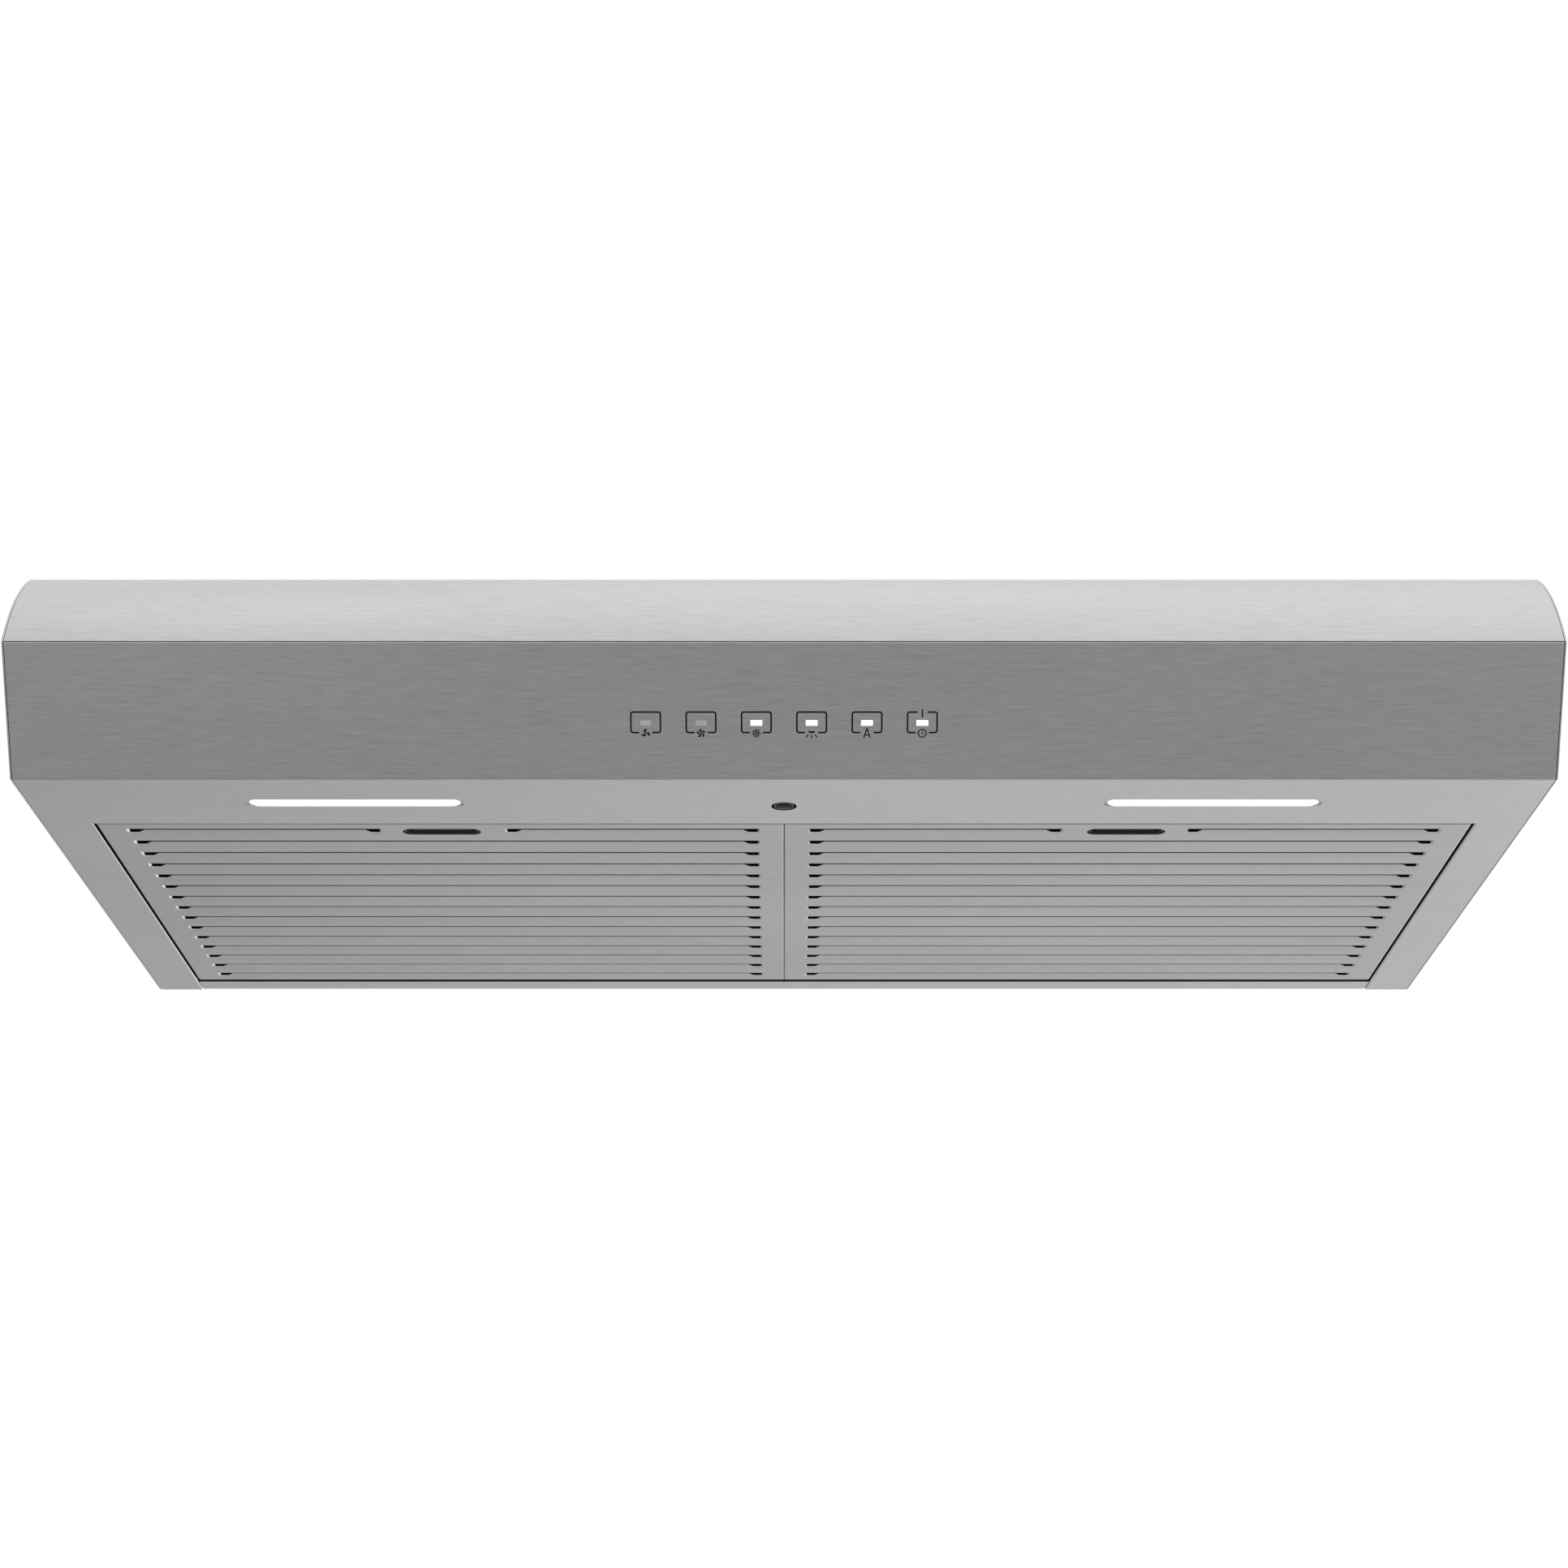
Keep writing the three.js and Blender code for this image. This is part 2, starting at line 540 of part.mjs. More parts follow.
// motor hung under the scroll's roof on a three-armed bracket, and its shaft
function buildMotor() {
  const bracketTop = CASE_TOP - CASE_WALL - GAP;
  const arms = MOTOR_STUDS.map(([x, y]) => {
    const angle = Math.atan2(y - WHEEL_Y, x - WHEEL_X);
    const arm = new THREE.BoxGeometry(56, 16, 2);
    arm.translate(28, 0, bracketTop - 1);
    arm.rotateZ(angle);
    arm.translate(WHEEL_X, WHEEL_Y, 0);
    return solid(arm);
  });
  piece('motor_bracket', GALVANISED, cut(
    joined(bar('z', 34, bracketTop - 2, bracketTop, WHEEL_X, WHEEL_Y, 20), ...arms),
    ...MOTOR_STUDS.map(([x, y]) => bar('z', STUD_HOLE_R, bracketTop - 3, bracketTop + 1, x, y, 8))));
  MOTOR_STUDS.forEach(([x, y], i) => {
    screw(`motor_screw_${i + 1}`, x, y, CASE_TOP + 2.4, 2.1, 4.4, 2.2, bracketTop - 8);
  });
  const motorTop = bracketTop - 2 - GAP;
  const motorFoot = motorTop - 42;
  piece('motor', ALUMINIUM, turned([
    [0, motorTop], [MOTOR_R - 8, motorTop], [MOTOR_R - 3, motorTop - 4], [MOTOR_R, motorTop - 4],
    [MOTOR_R, motorTop - 32], [MOTOR_R - 3, motorTop - 32], [MOTOR_R - 8, motorTop - 38], [14, motorTop - 38],
    [14, motorFoot], [0, motorFoot],
  ], WHEEL_X, WHEEL_Y, 24));
  const shaftTop = motorFoot - GAP;
  piece('motor_shaft', BRIGHT, bar('z', SHAFT_R, shaftTop - 20, shaftTop, WHEEL_X, WHEEL_Y, 16));
  const nutTop = HUB_FOOT - GAP;
  piece('wheel_nut', BRIGHT, cut(bar('z', 8, nutTop - 5, nutTop, WHEEL_X, WHEEL_Y, 6),
    bar('z', SHAFT_R + GAP, nutTop - 6, nutTop + 1, WHEEL_X, WHEEL_Y, 16)));
}

// squirrel-cage wheel: a dished back disc that goes down round the motor to its hub, blades, and a lower ring
function buildWheel() {
  const top = -14;
  const foot = -75.5;
  const dish = -58;
  const bore = SHAFT_R + GAP;
  const disc = turned([
    [bore, dish + 1], [12, dish + 1], [12, dish], [50, dish], [58, top], [WHEEL_R, top], [WHEEL_R, top - 1.2],
    [59.2, top - 1.2], [51.2, dish - 1.2], [12, dish - 1.2], [12, HUB_FOOT], [bore, HUB_FOOT],
    [bore, dish + 1],
  ], WHEEL_X, WHEEL_Y, 32);
  const ring = turned([
    [91, foot + 1.5], [WHEEL_R, foot + 1.5], [WHEEL_R, foot], [91, foot], [91, foot + 1.5],
  ], WHEEL_X, WHEEL_Y, 32);
  const bladeShape = folded([new THREE.Vector2(86, 0), new THREE.Vector2(101.4, 6)], 1);
  const blades = Array.from({ length: BLADES }, (_, i) => {
    const blade = new THREE.ExtrudeGeometry(bladeShape, { depth: top - foot - 1.3, bevelEnabled: false });
    blade.rotateZ((2 * Math.PI * i) / BLADES);
    blade.translate(WHEEL_X, WHEEL_Y, foot + 0.6);
    return solid(blade);
  });
  piece('blower_wheel', GALVANISED, joined(disc, ring, ...blades));
}

// ---- electrics ----------------------------------------------------------------------------------
function buildElectrics() {
  const under = -THIN - GAP;
  // junction box under the top panel, its roof pierced for the cable clamp
  const box = [CLAMP_X - 60, CLAMP_X + 55, 140, 240, under - 40, under];
  piece('junction_box', GALVANISED, cut(tray(box, 1, true),
    bar('z', CLAMP_R + GAP, under - 3, under + 1, CLAMP_X, CLAMP_Y, 24)));
  const coverTop = box[4] - GAP;
  piece('junction_cover', GALVANISED, block(...box.slice(0, 4), coverTop - 1, coverTop));
  piece('terminal_block', BLACK, joined(
    block(CLAMP_X - 50, CLAMP_X - 30, 160, 220, under - 39, under - 26),
    ...[170, 190, 210].map((y) => (
      block(CLAMP_X - 46, CLAMP_X - 34, y - 6, y + 6, under - 26.5, under - 20)))));
  // bushing clamped in the knock-out, with a flange inside
  piece('cable_clamp', BLACK, turned([
    [CLAMP_BORE, -0.4], [CLAMP_R, -0.4], [CLAMP_R, under - 1.6], [17, under - 1.6], [17, under - 6],
    [CLAMP_BORE, under - 6], [CLAMP_BORE, -0.4],
  ], CLAMP_X, CLAMP_Y, 20));

  // motor capacitor, and the electronics tray on the left, under the top panel
  piece('capacitor', WHITE, bar('z', 17, -44, under, -235, 130, 24));
  const cover = [-420, -290, -70, 60, under - 34, under];
  piece('electronics_cover', WHITE, cut(joined(
    tray(cover, 1.6, false),
    block(-432, -418.5, -20, 10, under - 2, under),
    block(-291.5, -278, -20, 10, under - 2, under)),
  bar('y', 4, -72, -66, -340, under - 14, 12)));
  piece('power_board', BOARD, joined(
    block(-414, -296, -64, 54, under - 10, under - 8.4),
    block(-404, -374, -50, -20, under - 30, under - 9.5),
    block(-360, -344, -40, 30, under - 24, under - 9.5),
    bar('z', 8, under - 29, under - 9.5, -318, 20, 16)));

  piece('mains_harness', BLACK, wire([
    [330, 139.5, -18], [330, 110, -14], [318, -20, -8], [290, -130, -8], [240, -178, -9], [120, -186, -9],
    [0, -187, -9], [-120, -186, -9], [-250, -172, -9], [-320, -130, -11], [-338, -100, -14],
    [-340, -66, -15.3],
  ], 3.2, 28));
  piece('control_harness', BLACK, wire([
    [-103, -213, -73], [-116, -205, -66], [-150, -196, -40], [-200, -190, -18], [-262, -176, -18],
  ], 2.2, 12));
}

// a round cable along a smooth curve through the points
function wire(points, radius, steps) {
  const ring = new THREE.Shape(Array.from({ length: 8 }, (_, i) => {
    const angle = (i * Math.PI) / 4;
    return new THREE.Vector2(radius * Math.cos(angle), radius * Math.sin(angle));
  }));
  const path = new THREE.CatmullRomCurve3(points.map((point) => new THREE.Vector3(...point)));
  return solid(new THREE.ExtrudeGeometry(ring, { steps, extrudePath: path }));
}

// ---- filters ------------------------------------------------------------------------------------
// one louvre slot: a slit whose two ends open wider towards the rear
function louvreSlot(x0, x1, y) {
  const flat = LOUVRE_END_FLAT;
  const ramp = flat + LOUVRE_END_SLOPE;
  const deep = y + LOUVRE_END;
  const slit = y + LOUVRE_SLIT;
  return new THREE.Shape([
    [x0, y], [x1, y], [x1, deep], [x1 - flat, deep], [x1 - ramp, slit], [x0 + ramp, slit], [x0 + flat, deep],
    [x0, deep],
  ].map(([x, across]) => new THREE.Vector2(x, across)));
}

// everything is built on the right and mirrored for the left by the sign of x
function buildFilter(name, side) {
  const mirrored = (a, b) => (side > 0 ? [a, b] : [-b, -a]);
  const width = mirrored(FILTER_IN, FILTER_OUT);
  const plateTop = BOTTOM + FILTER_SHEET;
  const latchX = side * LATCH_X;
  const slots = [slot(FINGER_LONG, FINGER_WIDE, latchX, LATCH_Y)];
  for (let row = 0; row < LOUVRE_ROWS; row += 1) {
    const y = LOUVRE_FIRST + row * LOUVRE_PITCH - LOUVRE_SLIT / 2;
    const spans = row === 0
      ? [[LOUVRE_IN, LOUVRE_BREAK[0]], [LOUVRE_BREAK[1], LOUVRE_OUT]]
      : [[LOUVRE_IN, LOUVRE_OUT]];
    spans.forEach((span) => slots.push(louvreSlot(...mirrored(...span), y)));
  }
  const sheet = cut(block(...width, FILTER_FRONT, FILTER_REAR, BOTTOM, plateTop),
    ...slots.map((shape) => plate(shape, BOTTOM - 1, plateTop + 1, 6)));
  const rim = cut(
    block(...width, FILTER_FRONT, FILTER_REAR, BOTTOM + 0.4, RIM_TOP),
    block(width[0] + FILTER_SHEET, width[1] - FILTER_SHEET, FILTER_FRONT + FILTER_SHEET,
      FILTER_REAR - FILTER_SHEET, BOTTOM - 1, RIM_TOP + 1),
    block(latchX - TONGUE_HALF - 2, latchX + TONGUE_HALF + 2, FILTER_FRONT - 1, FILTER_FRONT + 2,
      BOTTOM + 2.4, BOTTOM + 6.6));
  piece(`${name}_filter_grille`, STEEL, joined(sheet, rim));

  // pleated mesh pad, cut away round the latch
  const pleats = 22;
  const padFront = FILTER_FRONT + FILTER_SHEET + 1;
  const padRear = FILTER_REAR - FILTER_SHEET - 1;
  const low = plateTop + 0.4;
  const high = RIM_TOP - 0.9;
  const zigzag = Array.from({ length: 2 * pleats + 1 }, (_, i) => (
    new THREE.Vector2(padFront + ((padRear - padFront) * i) / (2 * pleats), i % 2 ? high : low)));
  const pad = section(folded(zigzag, 0.5), width[0] + 1.4, width[1] - 1.4);
  const notch = block(latchX - LATCH_HALF - 8, latchX + LATCH_HALF + 8, padFront - 2, LATCH_Y + 32,
    BOTTOM, RIM_TOP + 2);
  piece(`${name}_filter_mesh`, ALUMINIUM, cut(pad, notch));

  // back frame: an open lattice laid over the rim, with two tabs that reach over the rear rail
  const columns = 5;
  const rows = 4;
  const border = 14;
  const bridge = 10;
  const cellX = (FILTER_OUT - FILTER_IN - 2 * border - (columns - 1) * bridge) / columns;
  const cellY = (FILTER_REAR - FILTER_FRONT - 2 * border - (rows - 1) * bridge) / rows;
  const frameTop = BACK_FRAME_Z + FILTER_SHEET;
  let lattice = block(...width, FILTER_FRONT, FILTER_REAR, BACK_FRAME_Z, frameTop);
  for (let column = 0; column < columns; column += 1) {
    for (let row = 0; row < rows; row += 1) {
      const x = width[0] + border + column * (cellX + bridge);
      const y = FILTER_FRONT + border + row * (cellY + bridge);
      lattice = cut(lattice, block(x, x + cellX, y, y + cellY, BACK_FRAME_Z - 1, frameTop + 1));
    }
  }
  const tabs = [60, 350].map((x) => block(...mirrored(x - 14, x + 14), FILTER_REAR - 2, RAIL_FRONT + 7,
    BACK_FRAME_Z, frameTop));
  piece(`${name}_filter_back_frame`, ALUMINIUM, joined(lattice, ...tabs));
  buildLatch(name, latchX);
}

// sliding latch: a cup for the finger tip, a tongue towards the front lip and two spring tails behind
function buildLatch(name, x) {
  const foot = BOTTOM + FILTER_SHEET + GAP;
  const roof = RIM_TOP - 1;
  const tailX = 20;
  const tail = (side) => block(x + side * tailX - 3, x + side * tailX + 3, LATCH_Y + 8, LATCH_Y + 22,
    foot + 2, foot + 5);
  const latch = joined(
    cut(block(x - LATCH_HALF, x + LATCH_HALF, LATCH_Y - 10.5, LATCH_Y + 9.5, foot, roof),
      block(x - 22, x + 22, LATCH_Y - 4, LATCH_Y + 4.6, foot - 1, roof - 1.4)),
    block(x - TONGUE_HALF, x + TONGUE_HALF, FILTER_FRONT + 0.1, LATCH_Y - 10, BOTTOM + 3, BOTTOM + 6),
    tail(-1), tail(1));
  piece(`${name}_filter_latch`, BLACK, latch);
}

buildCasing();
buildLowerShell();
buildControls();
buildLights();
buildSensor();
buildCollar();
buildBlower();
buildElectrics();
buildFilter('left', -1);
buildFilter('right', 1);

export default hood;
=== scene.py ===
"""Looks for the under cabinet range hood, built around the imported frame.

Lengths are millimetres until a mesh is made. +X is the cook's right, -Y is the front and +Z is up,
with the origin on the cabinet face.
"""

import json
import math

import bmesh
import bpy
from mathutils import Matrix, Vector


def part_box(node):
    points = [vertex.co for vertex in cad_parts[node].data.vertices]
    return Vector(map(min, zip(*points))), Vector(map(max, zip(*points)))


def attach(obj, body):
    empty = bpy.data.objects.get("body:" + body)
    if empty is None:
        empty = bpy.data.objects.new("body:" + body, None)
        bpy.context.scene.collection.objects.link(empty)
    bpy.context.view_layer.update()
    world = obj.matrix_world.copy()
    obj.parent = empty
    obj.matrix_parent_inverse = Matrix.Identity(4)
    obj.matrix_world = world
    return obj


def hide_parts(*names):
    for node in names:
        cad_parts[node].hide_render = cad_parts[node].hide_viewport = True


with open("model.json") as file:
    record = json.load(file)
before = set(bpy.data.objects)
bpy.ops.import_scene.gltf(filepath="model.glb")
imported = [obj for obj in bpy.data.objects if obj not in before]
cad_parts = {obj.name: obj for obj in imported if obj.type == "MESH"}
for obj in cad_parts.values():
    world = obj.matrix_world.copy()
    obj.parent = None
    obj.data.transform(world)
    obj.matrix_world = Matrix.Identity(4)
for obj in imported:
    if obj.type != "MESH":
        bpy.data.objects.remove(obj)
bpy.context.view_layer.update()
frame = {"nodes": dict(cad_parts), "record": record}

MM = 0.001


def span(node):
    """A node's lowest and highest corners, in millimetres."""
    low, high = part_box(node)
    return low / MM, high / MM


# ---- sizes taken from the frame ----
side_low, side_high = span("left_side_panel")
shell_high = span("lower_shell")[1]
filter_low, filter_high = span("right_filter_grille")
rail_low, rail_high = span("rear_rail")
HALF = -side_low.x
SIDE_SHEET = side_high.x - side_low.x
FRONT = side_low.y
BACK = side_high.y
BOTTOM = side_low.z
INNER_HALF = shell_high.x
SHEET = 1.2
SHELL_SKIN = 0.5
THIN = 1.0

# side profile, as (y, z)
EDGE_A = Vector((FRONT, shell_high.z))
FOOT_B = Vector((FRONT + 46.1, BOTTOM))
TOP_T = Vector((FRONT + 50.4, 0))
CURVE_R = 119.3
FRONT_SEAM = 0.06

# opening for the filters
OPENING_HALF = 423.9
OPENING_FRONT = FRONT + 126.8
LIP = 12

# lights and sensor in the bottom surround
LIGHT_X = 258
LIGHT_Y = FRONT + 88.1
LIGHT_SLOT = (131, 12.6)
LIGHT_LENS = (126.6, 11.4)
SENSOR_Y = FRONT + 93.7
SENSOR_R = 7.7
DOME_R = 5.7
DOME_BEHIND = 1.4  # how far the dome's middle is behind the hole's

# touch zones, measured up the control face from its foot
ZONES = 6
ZONE_PITCH = 32.4
ZONE_FOOT = 28.0
ZONE_TOP = 41.3
ZONE_HALF = 9.15
WINDOW_UP = 34.25
WINDOW = (6.8, 3.3)
WINDOW_GAP = 0.02
INK = 0.03  # how far the printed marks stand off the steel


# ---- mesh helpers ----
def offset(path, distance):
    """The path moved to its left by a distance, with mitred corners."""
    moved = []
    for i, point in enumerate(path):
        before = (point - path[i - 1]).normalized() if i else None
        after = (path[i + 1] - point).normalized() if i + 1 < len(path) else None
        a, b = before or after, after or before
        left_a, left_b = Vector((-a.y, a.x)), Vector((-b.y, b.x))
        mitre = (left_a + left_b).normalized()
        moved.append(point + mitre * (distance / mitre.dot(left_a)))
    return moved


def fillet(path, radii, steps=6):
    """The path with its inner corners rounded: one radius for each inner corner, 0 for a sharp one."""
    out = [path[0]]
    for i in range(1, len(path) - 1):
        corner, radius = path[i], radii[i - 1]
        if not radius:
            out.append(corner)
            continue
        back, on = (path[i - 1] - corner).normalized(), (path[i + 1] - corner).normalized()
        half = math.acos(max(-1, min(1, back.dot(on)))) / 2
        reach = radius / math.tan(half)
        centre = corner + (back + on).normalized() * (radius / math.sin(half))
        start, end = corner + back * reach - centre, corner + on * reach - centre
        turn = start.angle_signed(end)
        for k in range(steps + 1):
            angle = -turn * k / steps
            c, s = math.cos(angle), math.sin(angle)
            out.append(centre + Vector((start.x * c - start.y * s, start.x * s + start.y * c)))
    return out + [path[-1]]


def arc_points(start, end, radius, steps):
    """Points on the arc of that radius from start to end, bulging to the left of the way there."""
    chord = end - start
    rise = math.sqrt(radius ** 2 - chord.length_squared / 4)
    centre = (start + end) / 2 + Vector((chord.y, -chord.x)).normalized() * rise
    a0 = math.atan2(start.y - centre.y, start.x - centre.x)
    a1 = math.atan2(end.y - centre.y, end.x - centre.x)
    angles = [a0 + (a1 - a0) * i / steps for i in range(steps + 1)]
    return [centre + radius * Vector((math.cos(angle), math.sin(angle))) for angle in angles]


def stadium(length, width, steps=12):
    """A slot's outline about the origin, anticlockwise."""
    r = width / 2
    straight = length / 2 - r
    points = []
    for side, start in ((1, -90), (-1, 90)):
        for i in range(steps + 1):
            angle = math.radians(start + 180 * i / steps)
            points.append(Vector((side * straight + r * math.cos(angle), r * math.sin(angle))))
    return points


def circle(radius, steps=32):
    """Points round the origin, anticlockwise."""
    angles = [2 * math.pi * i / steps for i in range(steps)]
    return [Vector((radius * math.cos(angle), radius * math.sin(angle))) for angle in angles]


def prism(bm, loop, place):
    """A solid between two copies of a loop: place(point, 0) and place(point, 1) give its ends."""
    ends = [[bm.verts.new(place(point, end)) for point in loop] for end in (0, 1)]
    bm.faces.new(ends[0])
    bm.faces.new(list(reversed(ends[1])))
    for i in range(len(loop)):
        j = (i + 1) % len(loop)
        bm.faces.new((ends[0][j], ends[0][i], ends[1][i], ends[1][j]))


def ring(bm, loops):
    """A ring-shaped solid: loops of points that follow each other, the last joined to the first."""
    rings = [[bm.verts.new(point) for point in loop] for loop in loops]
    for a, b in zip(rings, rings[1:] + rings[:1]):
        for i in range(len(a)):
            j = (i + 1) % len(a)
            bm.faces.new((a[i], a[j], b[j], b[i]))


def sweep_x(bm, loop, x0, x1):
    prism(bm, loop, lambda p, end: Vector(((x0, x1)[end], p.x, p.y)))


def sweep_z(bm, loop, z0, z1, at=(0, 0)):
    prism(bm, loop, lambda p, end: Vector((p.x + at[0], p.y + at[1], (z0, z1)[end])))


def cuboid(bm, x0, x1, y0, y1, z0, z1):
    """A box in the bmesh."""
    sweep_z(bm, [Vector(p) for p in ((x0, y0), (x1, y0), (x1, y1), (x0, y1))], z0, z1)


def lathe(bm, profile, at=(0, 0), steps=32):
    """A body turned about a vertical axis at a place.

    The profile is (radius, z) points that start and end on the axis, or form a closed loop.
    """
    rings = []
    for radius, z in profile:
        if radius < 1e-6:
            rings.append([bm.verts.new((at[0], at[1], z))])
        else:
            rings.append([bm.verts.new((at[0] + p.x, at[1] + p.y, z)) for p in circle(radius, steps)])
    for low, high in zip(rings, rings[1:]):
        for i in range(steps):
            j = (i + 1) % steps
            corners = [low[i % len(low)], low[j % len(low)], high[j % len(high)], high[i % len(high)]]
            unique = [v for k, v in enumerate(corners) if v not in corners[:k]]
            if len(unique) > 2:
                bm.faces.new(unique)
    if profile[0] == profile[-1]:
        bmesh.ops.remove_doubles(bm, verts=rings[0] + rings[-1], dist=1e-4)


def round_edges(bm, edges, reach, segments):
    """Rounds edges; the rounding starts at the reach on either side of each."""
    bmesh.ops.bevel(bm, geom=edges, offset=reach, segments=segments, profile=0.5, affect="EDGES",
                    clamp_overlap=True)


def middle(low, high):
    """The (x, y) middle between two corners."""
    return (low.x + high.x) / 2, (low.y + high.y) / 2


def as_object(name, bm, matrix=Matrix()):
    """A Blender object in metres from a bmesh in millimetres."""
    bm.transform(Matrix.Scale(MM, 4) @ matrix)
    mesh = bpy.data.meshes.new(name)
    bm.to_mesh(mesh)
    bm.free()
    obj = bpy.data.objects.new(name, mesh)
    bpy.context.scene.collection.objects.link(obj)
    return obj


def raw(name, bm, matrix=Matrix()):
    """An object as above, with the faces of a closed mesh turned outwards first."""
    bmesh.ops.recalc_face_normals(bm, faces=bm.faces)
    return as_object(name, bm, matrix)


def swept(name, sweep, *sizes):
    """An object made by one sweep or lathe."""
    bm = bmesh.new()
    sweep(bm, *sizes)
    return raw(name, bm)


def applied(obj):
    """Replaces the object's mesh by what its modifiers make of it."""
    bpy.context.view_layer.update()
    evaluated = obj.evaluated_get(bpy.context.evaluated_depsgraph_get())
    mesh = bpy.data.meshes.new_from_object(evaluated)
    obj.modifiers.clear()
    old = obj.data
    obj.data = mesh
    bpy.data.meshes.remove(old)
    return obj


def combine(obj, others, operation):
    """Joins or cuts obj with other objects, which are used up."""
    for other in others:
        modifier = obj.modifiers.new("combine", "BOOLEAN")
        modifier.operation = operation
        modifier.solver = "EXACT"
        modifier.object = other
    applied(obj)
    for other in others:
        mesh = other.data
        bpy.data.objects.remove(other)
        bpy.data.meshes.remove(mesh)
    return obj


def rounded(obj, width, segments=3, angle=45):
    """Rounds every edge sharper than the angle."""
    modifier = obj.modifiers.new("rounded", "BEVEL")
    modifier.width = width * MM
    modifier.segments = segments
    modifier.limit_method = "ANGLE"
    modifier.angle_limit = math.radians(angle)
    modifier.use_clamp_overlap = True
    return applied(obj)


def piece(obj, material, stands_for=(), body="canopy", sharp=35, edge=None):
    """Dresses a finished object and puts it on its body; edge is the material of the faces marked 1."""
    marks = [polygon.material_index for polygon in obj.data.polygons] if edge else []
    obj.data.materials.clear()
    obj.data.materials.append(material)
    if edge:
        obj.data.materials.append(edge)
        for polygon, mark in zip(obj.data.polygons, marks):
            polygon.material_index = min(mark, 1)
    for polygon in obj.data.polygons:
        polygon.use_smooth = True
    obj.data.set_sharp_from_angle(angle=math.radians(sharp))
    obj.modifiers.new("normals", "WEIGHTED_NORMAL").keep_sharp = True
    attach(obj, body)
    if stands_for:
        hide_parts(*stands_for)


# ---- materials ----
def scaled(colour, factor):
    return tuple(min(1, factor * channel) for channel in colour)


class Nodes:
    """A node tree, with short ways to add to it."""

    def __init__(self, tree):
        self.tree = tree

    def set(self, node, **sockets):
        for name, value in sockets.items():
            node.inputs[name].default_value = value

    def add(self, kind, **settings):
        node = self.tree.nodes.new(kind)
        for name, value in settings.items():
            setattr(node, name, value)
        return node

    def link(self, source, target):
        self.tree.links.new(source, target)

    def after(self, source, kind, **sockets):
        """A node that takes its vector from the source."""
        node = self.add(kind)
        self.set(node, **sockets)
        self.link(source, node.inputs["Vector"])
        return node

    def math(self, operation, a, b):
        """One operation on two values, each a number or a socket."""
        node = self.add("ShaderNodeMath", operation=operation)
        for socket, value in zip(node.inputs, (a, b)):
            if isinstance(value, (int, float)):
                socket.default_value = value
            else:
                self.link(value, socket)
        return node.outputs["Value"]


class Shader(Nodes):
    """A material and its node tree."""

    def __init__(self, name, color, metallic, roughness, **sockets):
        self.material = bpy.data.materials.new(name)
        self.material.use_nodes = True
        super().__init__(self.material.node_tree)
        self.bsdf = self.tree.nodes["Principled BSDF"]
        self.set(self.bsdf, **{"Base Color": (*color, 1)}, Metallic=metallic, Roughness=roughness,
                 **sockets)

    def place(self):
        return self.add("ShaderNodeTexCoord").outputs["Object"]

    def noise(self, scale, detail=2.0, roughness=0.5):
        """Noise over the object's own coordinates, stretched by a scale for each axis, per metre."""
        mapping = self.after(self.place(), "ShaderNodeMapping", Scale=scale)
        noise = self.after(mapping.outputs["Vector"], "ShaderNodeTexNoise", Scale=1.0, Detail=detail,
                           Roughness=roughness)
        return noise.outputs["Fac"]

    def ramp(self, factor, low, high):
        """A number or colour that runs from low to high over the middle of the factor's range."""
        place = self.add("ShaderNodeMapRange")
        self.set(place, **{"From Min": 0.3, "From Max": 0.7})
        self.link(factor, place.inputs["Value"])
        if not isinstance(low, tuple):
            self.set(place, **{"To Min": low, "To Max": high})
            return place.outputs["Result"]
        mix = self.add("ShaderNodeMix", data_type="RGBA")
        self.link(place.outputs["Result"], mix.inputs["Factor"])
        for socket in mix.inputs:
            if socket.type == "RGBA":
                socket.default_value = (*(low if socket.name == "A" else high), 1)
        return next(socket for socket in mix.outputs if socket.type == "RGBA")

    def bump(self, height, strength, distance):
        node = self.add("ShaderNodeBump")
        self.set(node, Strength=strength, Distance=distance)
        self.link(height, node.inputs["Height"])
        self.link(node.outputs["Normal"], self.bsdf.inputs["Normal"])

    def feed(self, source, socket):
        self.link(source, self.bsdf.inputs[socket])


def brushed(name, base, roughness, anisotropic):
    """Stainless steel with hairlines along X."""
    s = Shader(name, base, 1.0, roughness, Anisotropic=anisotropic)
    hairs = s.noise((45, 1400, 1400), 2.0, 0.6)
    strokes = s.noise((80, 700, 700), 2.0)
    clouds = s.noise((3, 9, 9), 2.0)
    mixed = s.math("ADD", s.math("MULTIPLY", hairs, 0.55), s.math("MULTIPLY", strokes, 0.45))
    tone = s.math("ADD", s.math("MULTIPLY", mixed, 0.8), s.math("MULTIPLY", clouds, 0.2))
    s.feed(s.ramp(tone, scaled(base, 0.86), scaled(base, 1.14)), "Base Color")
    s.feed(s.ramp(mixed, roughness - 0.03, roughness + 0.04), "Roughness")
    s.bump(mixed, 0.07, 0.00005)
    tangent = s.add("ShaderNodeTangent", direction_type="RADIAL", axis="X")
    s.feed(tangent.outputs["Tangent"], "Tangent")
    return s.material


def galvanised(name, base):
    """Zinc-coated sheet with a faint spangle."""
    s = Shader(name, base, 1.0, 0.42)
    cells = s.after(s.place(), "ShaderNodeTexVoronoi", Scale=170.0)
    grey = s.add("ShaderNodeRGBToBW")
    s.link(cells.outputs["Color"], grey.inputs["Color"])
    s.feed(s.ramp(grey.outputs["Val"], scaled(base, 0.97), scaled(base, 1.03)), "Base Color")
    s.feed(s.ramp(grey.outputs["Val"], 0.38, 0.42), "Roughness")
    s.bump(s.noise((900, 900, 900), 2.0), 0.05, 0.0001)
    return s.material


